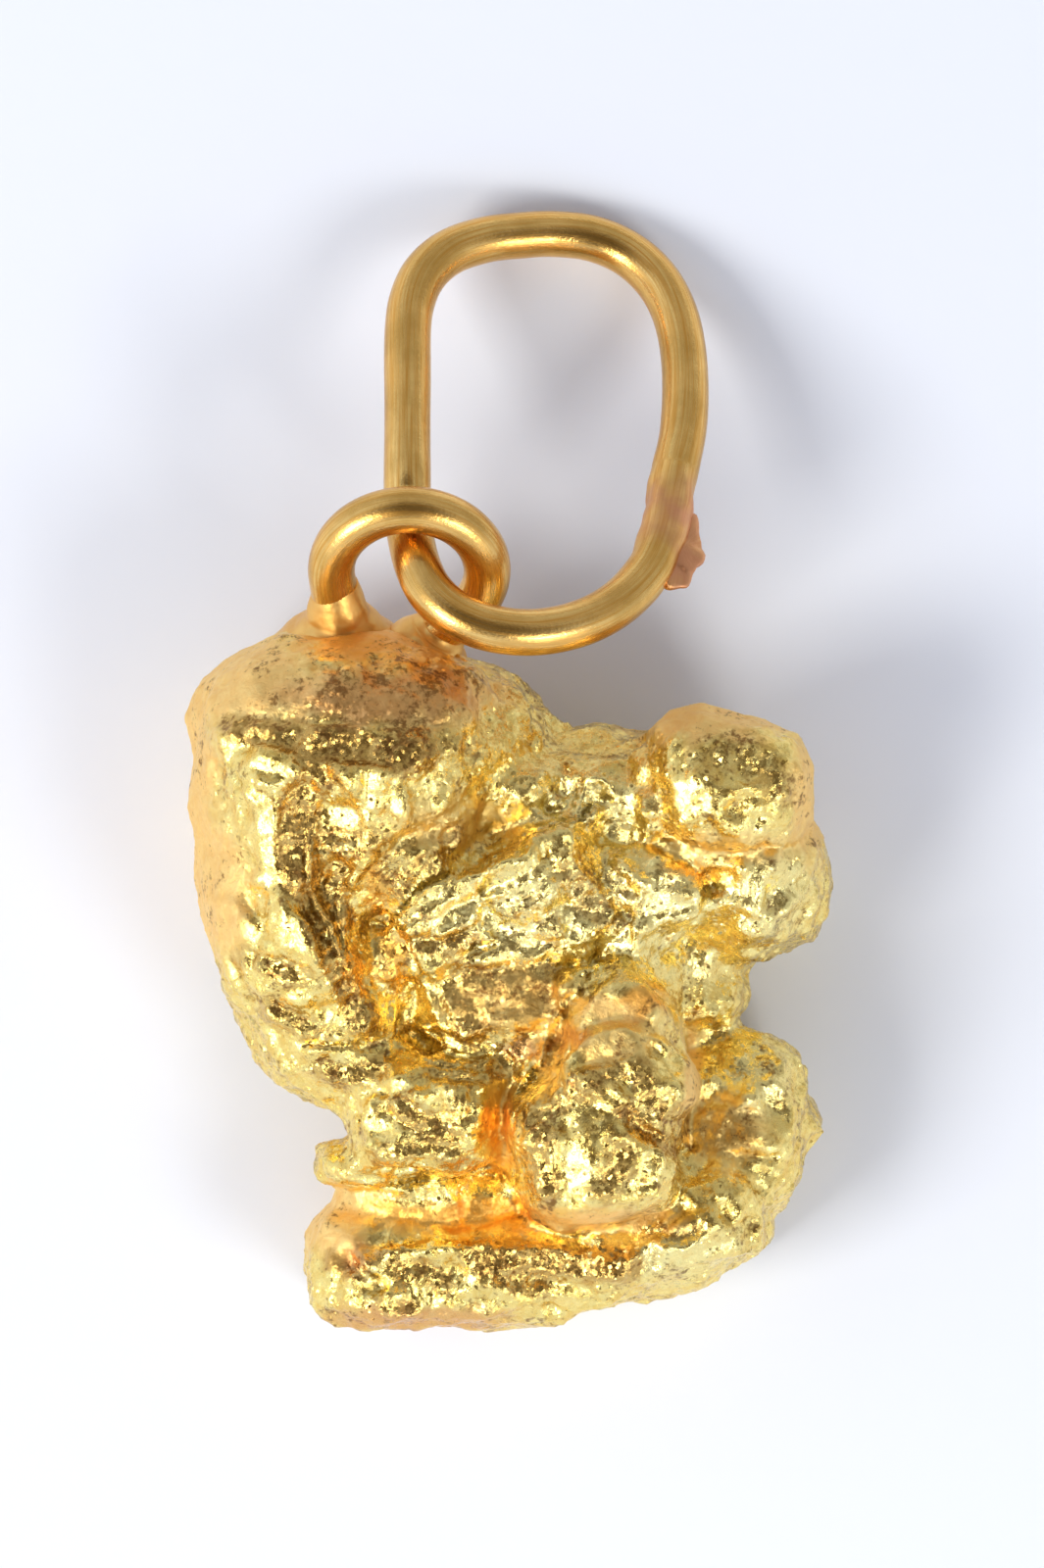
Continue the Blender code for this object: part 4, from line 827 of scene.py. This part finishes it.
def native_gold(look):
    """Natural gold, about nine tenths pure, tumbled and crumpled.

    It gives the eye bright broken glints on every small facet, warm orange where facets face each
    other in a crevice, partly painted as an orange glow, painted light on the crevice floors, a soft matte
    skin where it was rubbed, painted shade where facets face up into the dim air, and brown films of iron
    oxide.
    """
    material, add, place = new_material("native_gold_crumpled")
    skin = {name: add("Attribute", output="Fac", attribute_name=name)
            for name in ("matte", "pale", "painted_shade", "specks", "face", "rust", "painted_glow", "crevice")}
    # Grains of 0.085 mm give the sandy sparkle and folds of 0.3 mm the foil crinkle. Iron oxide lies in blots
    # 0.9 mm apart, broken into specks of 0.16 mm
    grain, crinkle, blots, specks = (
        add("TexNoise", {"Vector": place, "Scale": per_mm(size), "Detail": detail, "Roughness": roughness,
                         "Distortion": distortion})
        for size, detail, roughness, distortion in (
            (0.085, 3.0, 0.65, 0.0), (0.30, 5.0, 0.62, 0.8), (0.9, 4.0, 0.7, 0.0), (0.16, 4.0, 0.7, 0.0)))
    oxide = add("Math", (blots, specks), operation="MULTIPLY")
    # Oxide specks thicken a little under the painted shade
    oxide = add("Math", (skin["painted_shade"], 0.03, oxide), operation="MULTIPLY_ADD")
    oxide = add("Math", (skin["specks"], 0.055, oxide), operation="MULTIPLY_ADD")
    oxide = add("MapRange", (oxide, 0.29, 0.40), interpolation_type="SMOOTHSTEP")
    # Painted shade: a darker gold laid over the shaded strips and patches, broken up by the specks
    dull = add("Math", (specks, 1.3, skin["painted_shade"]), operation="MULTIPLY_ADD")
    dull = add("MapRange", (dull, 0.95, 1.65))
    tone = add("MapRange", (crinkle, 0.38, 0.62))
    gold = add("Mix", {SHARE: tone, UNDER: look.gold_deep, OVER: look.gold_bright}, MIXED, data_type="RGBA")
    # Laid on the gold one over another: silver in it, the rubbed skin, painted shade where facets face up
    # into the dim air, rust stains, painted light on the crevice floors, a painted orange glow between facing
    # folds, and oxide
    for share, strength, colour in (
            (skin["pale"], 0.42, look.gold_pale), (skin["matte"], 0.55, look.gold_film),
            (dull, 0.9, look.gold_painted_shade), (skin["rust"], 0.7, look.gold_rust),
            (skin["crevice"], 0.5, look.gold_crevice_painted_light), (skin["painted_glow"], 0.75, look.gold_painted_glow),
            (oxide, 0.8, look.gold_oxide)):
        share = add("Math", (share, strength), operation="MULTIPLY")
        gold = add("Mix", {SHARE: share, UNDER: gold, OVER: colour}, MIXED, data_type="RGBA")
    rough = add("MapRange", (specks, 0.3, 0.7, 0.16, 0.36))
    rough = add("Math", (skin["matte"], 0.30, rough), operation="MULTIPLY_ADD")
    bump = add("Bump", {"Strength": 0.7, "Distance": 0.04 * MM, "Height": crinkle})
    bump = add("Bump", {"Strength": 0.5, "Distance": 0.016 * MM, "Height": grain, "Normal": bump})
    # Foil-like plates of 0.26 by 0.6 mm with crooked rims each lean a little their own way
    crooked = add("TexNoise", {"Vector": place, "Scale": per_mm(0.3), "Detail": 3.0}, "Color")
    crooked = add("VectorMath", (crooked, (0.5 * MM,) * 3, (-0.25 * MM,) * 3), operation="MULTIPLY_ADD")
    crooked = add("VectorMath", (place, crooked), operation="ADD")
    ways = []
    for degrees in FOLD_WAYS[:2]:
        way = add("Mapping", {"Vector": crooked, "Rotation": (0.0, 0.0, math.radians(degrees)),
                              "Scale": (FOLD_STRETCH, 1.0, 1.0)}, vector_type="TEXTURE")
        ways.append(add("TexVoronoi", {"Vector": way, "Scale": per_mm(0.26)}, "Color"))
    which = add("MapRange", (blots, 0.45, 0.55))
    tilt = add("Mix", {SHARE: which, UNDER: ways[0], OVER: ways[1]}, MIXED, data_type="RGBA")
    tilt = add("VectorMath", (tilt, (0.5, 0.5, 0.5)), operation="SUBTRACT")
    tilt = add("VectorMath", {0: tilt, "Scale": 0.26}, operation="SCALE")
    # Crystal faces of 0.085 mm lie nearly with the skin, and a few lean far off it: the hard little glints
    crystals = add("TexVoronoi", {"Vector": place, "Scale": per_mm(0.085)}, "Color")
    chance = add("SeparateXYZ", (crystals,), "Z")
    chance = add("Math", (chance, 4.0), operation="POWER")
    strength = add("Math", (chance, 0.9, 0.16), operation="MULTIPLY_ADD")
    strength = add("Math", (skin["painted_shade"], 0.22, strength), operation="MULTIPLY_ADD")
    sharp = add("Math", (skin["matte"], -0.75, 1.0), operation="MULTIPLY_ADD")
    sharp = add("Math", (skin["face"], -0.45, sharp), operation="MULTIPLY_ADD")
    lean = add("VectorMath", (crystals, (0.5, 0.5, 0.5)), operation="SUBTRACT")
    lean = add("VectorMath", {0: lean, "Scale": strength}, operation="SCALE")
    lean = add("VectorMath", (lean, tilt), operation="ADD")
    lean = add("VectorMath", {0: lean, "Scale": sharp}, operation="SCALE")
    normal = add("VectorMath", (bump, lean), operation="ADD")
    normal = add("VectorMath", (normal,), operation="NORMALIZE")
    shader = add("BsdfPrincipled", {"Metallic": 1.0, "Base Color": gold, "Roughness": rough,
                                    "Normal": normal})
    add("OutputMaterial", (shader,))
    return material


def gold_wire(look):
    """Drawn gold wire, about 18 gauge, bent by hand and worn.

    It gives the eye long soft highlights with faint lines along the wire from the drawing plate, and
    a reddish brown heat stain beside the soldered seam.
    """
    material, add, place = new_material("gold_wire_drawn")
    along = add("Attribute", output="Vector", attribute_name="wire_place")
    stain = add("Attribute", output="Fac", attribute_name="stain")
    # Draw lines are 0.05 mm apart round the wire and run on for about 2 mm
    drawn = add("Mapping", {"Vector": along, "Scale": (18.0, 18.0, 0.5)})
    drawn = add("TexNoise", {"Vector": drawn, "Scale": 1.0, "Detail": 3.0, "Roughness": 0.6})
    # Wear is fine pitting of 0.07 mm, and the brown film lies in patches 1.3 mm apart
    wear, patches = (
        add("TexNoise", {"Vector": place, "Scale": per_mm(size), "Detail": detail, "Roughness": 0.6})
        for size, detail in ((0.07, 2.0), (1.3, 4.0)))
    streak = add("MapRange", (drawn, 0.35, 0.65))
    colour = add("Mix", {SHARE: streak, UNDER: look.wire_bright, OVER: look.wire_brown}, MIXED,
                 data_type="RGBA")
    dull = add("MapRange", (patches, 0.42, 0.68, 0.0, 0.6))
    colour = add("Mix", {SHARE: dull, UNDER: colour, OVER: look.wire_dull}, MIXED, data_type="RGBA")
    reddish = add("Math", (stain, patches), operation="MULTIPLY")
    reddish = add("MapRange", (reddish, 0.15, 0.62, 0.0, 0.9), interpolation_type="SMOOTHSTEP")
    colour = add("Mix", {SHARE: reddish, UNDER: colour, OVER: look.wire_stain}, MIXED, data_type="RGBA")
    rough = add("MapRange", (drawn, 0.3, 0.7, 0.20, 0.34))
    rough = add("Math", (stain, 0.15, rough), operation="MULTIPLY_ADD")
    bump = add("Bump", {"Strength": 0.22, "Distance": 0.010 * MM, "Height": drawn})
    bump = add("Bump", {"Strength": 0.6, "Distance": 0.010 * MM, "Height": wear, "Normal": bump})
    shader = add("BsdfPrincipled", {"Metallic": 1.0, "Base Color": colour, "Roughness": rough,
                                    "Normal": bump})
    add("OutputMaterial", (shader,))
    return material


def gold_solder(look):
    """Gold solder as it flowed and froze.

    It gives the eye a smooth skin, warmer and duller than the wire, with soft rather than sharp glints.
    """
    material, add, place = new_material("gold_solder_flowed")
    # The colour is mottled 0.6 mm apart, and the skin has a tooth of 0.14 mm
    mottle, tooth = (
        add("TexNoise", {"Vector": place, "Scale": per_mm(size), "Detail": detail, "Roughness": roughness})
        for size, detail, roughness in ((0.6, 5.0, 0.65), (0.14, 3.0, 0.6)))
    colour = add("Mix", {SHARE: mottle, UNDER: look.solder_pale, OVER: look.solder_warm}, MIXED,
                 data_type="RGBA")
    rough = add("MapRange", (mottle, 0.3, 0.7, 0.34, 0.50))
    bump = add("Bump", {"Strength": 0.5, "Distance": 0.02 * MM, "Height": tooth})
    shader = add("BsdfPrincipled", {"Metallic": 1.0, "Base Color": colour, "Roughness": rough,
                                    "Normal": bump})
    add("OutputMaterial", (shader,))
    return material


def pale_paper(look):
    """Smooth white paper, which gives the eye an even pale ground with a barely visible tooth."""
    material, add, place = new_material("white_paper")
    tooth = add("TexNoise", {"Vector": place, "Scale": per_mm(0.8), "Detail": 4.0})
    bump = add("Bump", {"Strength": 0.25, "Distance": 0.03 * MM, "Height": tooth})
    shader = add("BsdfPrincipled", {"Base Color": look.paper, "Roughness": 0.9, "Normal": bump})
    add("OutputMaterial", (shader,))
    return material


def studio_air(world, look):
    """Pale air low down, dim towards the far side and dark overhead, so metal that faces up reads dark."""
    world.use_nodes = True
    world.node_tree.nodes.clear()
    add = partial(add_node, world.node_tree)
    direction = add("TexCoord", output="Generated")
    far = add("VectorMath", (direction, (0.5, 0.87, 0.0)), "Value", operation="DOT_PRODUCT")
    far = add("MapRange", (far, -0.1, 0.85), interpolation_type="SMOOTHSTEP")
    high = add("SeparateXYZ", (direction,), "Z")
    high = add("MapRange", (high, 0.64, 0.93), interpolation_type="SMOOTHSTEP")
    colour = add("Mix", {SHARE: far, UNDER: look.air_low, OVER: look.air_far}, MIXED, data_type="RGBA")
    colour = add("Mix", {SHARE: high, UNDER: colour, OVER: look.air_high}, MIXED, data_type="RGBA")
    shader = add("Background", {"Color": colour, "Strength": 1.3})
    add("OutputWorld", (shader,))


def colour_property(name, description, hex_colour):
    """A colour setting whose default is a screen colour."""
    return FloatVectorProperty(name=name, description=description, default=linear(hex_colour), size=4,
                               subtype="COLOR", min=0.0, max=1.0)


class NuggetLook(bpy.types.PropertyGroup):
    """Colours of the metals and the stage."""

    gold_bright: colour_property("Bright gold", "Gold on the worn faces", "#FCE38A")
    gold_deep: colour_property("Deep gold", "Gold in the folds", "#F0CA6A")
    gold_pale: colour_property("Pale gold", "Gold with more silver in it", "#FCF0AA")
    gold_film: colour_property("Film", "Gold where it is rubbed smooth and pale", "#F8C884")
    # Painted shade: darker gold where facets face up into the dim air
    gold_painted_shade: colour_property("Dusk", "Gold under a dull film", "#C69C52")
    gold_rust: colour_property("Rust", "Gold stained by iron oxide", "#DEA062")
    # Painted glow: orange of light bounced between facing folds, laid into the colour
    gold_painted_glow: colour_property("Amber", "Gold glowing orange where folds face each other", "#F6B248")
    # Painted light: a mid gold at the crevice floors that tempers their shade and orange glow
    gold_crevice_painted_light: colour_property("Crevice gold", "Gold at the bottom of the crevices", "#F4CA74")
    gold_oxide: colour_property("Iron oxide", "Brown specks", "#80562A")
    wire_bright: colour_property("Bright wire", "Gold wire where it is rubbed", "#F6CC7A")
    wire_brown: colour_property("Brown wire", "Gold wire where it is dull", "#DCA24C")
    wire_dull: colour_property("Dull wire", "Gold wire under a film", "#BE9042")
    wire_stain: colour_property("Heat stain", "Wire beside the soldered seam", "#D8966E")
    solder_pale: colour_property("Pale solder", "Solder where it is thin", "#F6CE7A")
    solder_warm: colour_property("Warm solder", "Solder where it is thick", "#E4A44E")
    paper: colour_property("Paper", "The sheet the pendant lies on", "#EDF0F6")
    air_low: colour_property("Low air", "Light from the near half of the room", "#D9E3FC")
    air_far: colour_property("Far air", "Light from the far side of the room", "#A6A7AB")
    air_high: colour_property("High air", "Light from straight above", "#564D40")


class NuggetSize(bpy.types.PropertyGroup):
    """Sizes of the pieces and strengths of the relief."""

    relief: FloatProperty(name="Fine relief", description="Strength of the facets, folds and pits",
                          default=1.0, min=0.0, max=2.0)
    wire_diameter: FloatProperty(name="Wire", description="Diameter of the wire of the eye and the link",
                                 default=1.04 * MM, unit="LENGTH", min=0.5 * MM, max=2.0 * MM)
    eye_radius: FloatProperty(name="Eye radius", description="Radius of the middle line of the eye's ring",
                              default=1.72 * MM, unit="LENGTH", min=1.0 * MM, max=3.0 * MM)


class NuggetStage(bpy.types.PropertyGroup):
    """Paper, lamps and camera."""

    paper_size: FloatProperty(name="Paper", description="Side of the sheet of paper", default=0.4,
                              unit="LENGTH", min=0.05)
    lamp_distance: FloatProperty(name="Lamp distance", description="From the pendant to each lamp",
                                 default=0.25, unit="LENGTH", min=0.05)
    left_power: FloatProperty(name="Left lamp", description="Power of the lamp at the lower left",
                              default=0.36, unit="POWER", min=0.0)
    right_power: FloatProperty(name="Right lamp", description="Power of the lamp at the lower right",
                               default=0.155, unit="POWER", min=0.0)
    camera_height: FloatProperty(name="Camera height", description="From the paper to the camera",
                                 default=0.35, unit="LENGTH", min=0.1)


class GOLDPENDANT_OT_nugget(bpy.types.Operator):
    """Make the nugget: lumps fused into one skin, crumpled, creased and given its foil-like relief"""

    bl_idname = "goldpendant.nugget"
    bl_label = "Nugget"

    def execute(self, context):
        scene = context.scene
        heap = new_mesh("lumps", [surface(lump_rings(lump)[::-1]) for lump in LUMPS])
        skin = evaluated_copy(heap, [("REMESH", {"mode": "VOXEL", "voxel_size": FUSE_CELL})])
        crumple(skin)
        crease_upper_side(skin, CREASES)
        share = FACET_TRIANGLES / (2 * len(skin.polygons))
        skin = evaluated_copy(skin, [("DECIMATE", {"ratio": share}),
                                     ("REMESH", {"mode": "VOXEL", "voxel_size": SKIN_CELL})])
        crease_upper_side(skin, FOLDS)
        lit = flatten_faces(skin)
        step_ledges(skin)
        fine_relief(skin, scene.nugget_size.relief, lit)
        finish_piece(skin, "nugget_metal", "root", "nugget", native_gold(scene.nugget_look))
        return {"FINISHED"}


class GOLDPENDANT_OT_eye(bpy.types.Operator):
    """Make the eye: a round wire carried along an arc of a ring with two straight legs"""

    bl_idname = "goldpendant.eye"
    bl_label = "Eye"

    def execute(self, context):
        size = context.scene.nugget_size
        radius = size.wire_diameter / 2 / MM
        across = np.array([1.0, 0.0, 0.0])
        upward = np.cross(RING_AXIS, across)
        angles = np.radians(np.linspace(*EYE_ARC))[:, None]
        arc = EYE_CENTRE + size.eye_radius / MM * (np.cos(angles) * across + np.sin(angles) * upward)
        legs = np.linspace(*EYE_LEG)[:, None]
        route = np.concatenate([arc[0] + legs * unit(arc[0] - arc[1]), arc,
                                arc[-1] + legs[::-1] * unit(arc[-1] - arc[-2])])
        path, lengths = smooth_path(route, EYE_RINGS)
        swell = 1.0 + WIRE_SWELL * lattice_noise(path, 1.1, NOISE_SEED + 30)
        rings = tube_rings(path, radius * swell, WIRE_SIDES, RING_AXIS)
        finish_wire(context.scene.nugget_look, "eye_wire", "root", "eye", rings, False, radius, lengths, 0.0)
        return {"FINISHED"}


class GOLDPENDANT_OT_solder(bpy.types.Operator):
    """Make the two beads of solder at the feet of the eye: round profiles that flare along their path"""

    bl_idname = "goldpendant.solder"
    bl_label = "Solder"

    def execute(self, context):
        material = gold_solder(context.scene.nugget_look)
        for node, (points, radii) in SOLDER_BEADS.items():
            path, lengths = smooth_path(points, SOLDER_RINGS)
            widths = np.interp(lengths, np.linspace(0.0, lengths[-1], len(radii)), radii)
            skin = tube_rings(path, widths, SOLDER_SIDES, UPWARDS).reshape(-1, 3)
            flow = sum(height * lattice_noise(skin, cell, NOISE_SEED + seed)
                       for height, cell, seed in SOLDER_FLOW).reshape(SOLDER_RINGS, SOLDER_SIDES)
            grown = widths[:, None] + flow * np.clip(lengths / SOLDER_SMOOTH, 0.0, 1.0)[:, None]
            rings = tube_rings(path, grown, SOLDER_SIDES, UPWARDS)
            mesh = new_mesh(node + "_bead", [surface(rings)])
            finish_piece(mesh, node + "_bead", "root", node, material)
        return {"FINISHED"}


class GOLDPENDANT_OT_link(bpy.types.Operator):
    """Make the loose link: a round wire carried round its leaning oval, rough at its soldered seam"""

    bl_idname = "goldpendant.link"
    bl_label = "Link"

    def execute(self, context):
        look = context.scene.nugget_look
        radius = context.scene.nugget_size.wire_diameter / 2 / MM
        flat = np.array(LINK_ROUTE)
        height = LINK_HEIGHT + (flat - LINK_MIDDLE) @ np.array(LINK_SLOPE)
        away = np.linalg.norm(flat - LINK_DIP_AT, axis=1) / LINK_DIP_REACH
        height -= LINK_DIP * np.clip(1.0 - away ** 2, 0.0, 1.0) ** 2
        path, lengths = smooth_path(np.column_stack([flat, height]), LINK_RINGS, True)
        total = lengths[-1] + lengths[1]
        from_seam = (lengths + SEAM_BACK + total / 2) % total - total / 2
        seam = np.exp(-(from_seam / SEAM_REACH) ** 2)
        normal = unit(np.array([-LINK_SLOPE[0], -LINK_SLOPE[1], 1.0]))
        swell = radius * (1.0 + WIRE_SWELL * lattice_noise(path, 1.2, NOISE_SEED + 50))
        skin = tube_rings(path, swell, WIRE_SIDES, normal, True).reshape(-1, 3)
        dimples = lattice_noise(skin, 0.55, NOISE_SEED + 51).reshape(LINK_RINGS, WIRE_SIDES)
        widths = swell[:, None] + seam[:, None] * (SEAM_DIMPLES * dimples + SEAM_SWELL)
        rings = tube_rings(path, widths, WIRE_SIDES, normal, True)
        stain = np.repeat(seam, WIRE_SIDES)
        finish_wire(look, "link_wire", "link", "link", rings, True, radius, lengths, stain)
        lengths = np.linspace(0.0, BURR_LENGTH, LUMP_GRID[0])
        finish_wire(look, "link_burr", "link", "link", burr_rings(), False, BURR_RADIUS, lengths, 1.0)
        return {"FINISHED"}


class GOLDPENDANT_OT_stage(bpy.types.Operator):
    """Make the paper, the two soft lamps, the dim air and the camera that looks straight down"""

    bl_idname = "goldpendant.stage"
    bl_label = "Stage"

    def execute(self, context):
        scene = context.scene
        stage = scene.nugget_stage
        half = stage.paper_size / 2
        sheet = bpy.data.meshes.new("paper_sheet")
        sheet.from_pydata([(-half, -half, 0), (half, -half, 0), (half, half, 0), (-half, half, 0)], [],
                          [(0, 1, 2, 3)])
        paper = bpy.data.objects.new("paper_sheet", sheet)
        scene.collection.objects.link(paper)
        sheet.materials.append(pale_paper(scene.nugget_look))
        scene.world = bpy.data.worlds.new("studio_air")
        studio_air(scene.world, scene.nugget_look)
        for name, azimuth, elevation, power, side in (("lamp_left", 207.0, 46.0, stage.left_power, 0.09),
                                                      ("lamp_right", 315.0, 48.0, stage.right_power, 0.07)):
            light = bpy.data.lights.new(name, "AREA")
            light.energy = power
            light.size = side
            light.color = LAMP_COLOUR
            lamp = bpy.data.objects.new(name, light)
            turn, rise = math.radians(azimuth), math.radians(elevation)
            lamp.location = stage.lamp_distance * Vector((math.cos(rise) * math.cos(turn),
                                                          math.cos(rise) * math.sin(turn), math.sin(rise)))
            lamp.rotation_euler = (-lamp.location).to_track_quat("-Z", "Y").to_euler()
            scene.collection.objects.link(lamp)
        lens = bpy.data.cameras.new("camera")
        lens.sensor_width = CAMERA_SENSOR
        lens.lens = CAMERA_SENSOR * (stage.camera_height / MM - FOCUS_HEIGHT) / FRAME_HEIGHT
        lens.clip_start = 0.01
        camera = bpy.data.objects.new("camera", lens)
        camera.location = (FRAME_MIDDLE[0] * MM, FRAME_MIDDLE[1] * MM, stage.camera_height)
        scene.collection.objects.link(camera)
        scene.camera = camera
        scene.view_settings.view_transform = "Standard"
        return {"FINISHED"}


class GOLDPENDANT_PT_panel(bpy.types.Panel):
    """Lists the pieces and their settings"""

    bl_idname = "GOLDPENDANT_PT_panel"
    bl_label = "Gold nugget pendant"
    bl_space_type = "VIEW_3D"
    bl_region_type = "UI"
    bl_category = "Nugget"

    def draw(self, context):
        for operator in OPERATORS:
            self.layout.operator(operator.bl_idname)
        for group in (context.scene.nugget_size, context.scene.nugget_look, context.scene.nugget_stage):
            for key in group.bl_rna.properties.keys():
                if key not in {"rna_type", "name"}:
                    self.layout.prop(group, key)


OPERATORS = (GOLDPENDANT_OT_stage, GOLDPENDANT_OT_nugget, GOLDPENDANT_OT_eye, GOLDPENDANT_OT_solder,
             GOLDPENDANT_OT_link)
GROUPS = (NuggetLook, NuggetSize, NuggetStage)


def register():
    for kind in GROUPS + OPERATORS + (GOLDPENDANT_PT_panel,):
        bpy.utils.register_class(kind)
    bpy.types.Scene.nugget_look = PointerProperty(type=NuggetLook)
    bpy.types.Scene.nugget_size = PointerProperty(type=NuggetSize)
    bpy.types.Scene.nugget_stage = PointerProperty(type=NuggetStage)


def unregister():
    del bpy.types.Scene.nugget_look
    del bpy.types.Scene.nugget_size
    del bpy.types.Scene.nugget_stage
    for kind in reversed(GROUPS + OPERATORS + (GOLDPENDANT_PT_panel,)):
        bpy.utils.unregister_class(kind)


def main():
    register()
    bpy.ops.goldpendant.stage()
    bpy.ops.goldpendant.nugget()
    bpy.ops.goldpendant.eye()
    bpy.ops.goldpendant.solder()
    bpy.ops.goldpendant.link()


if __name__ == "__main__":
    main()
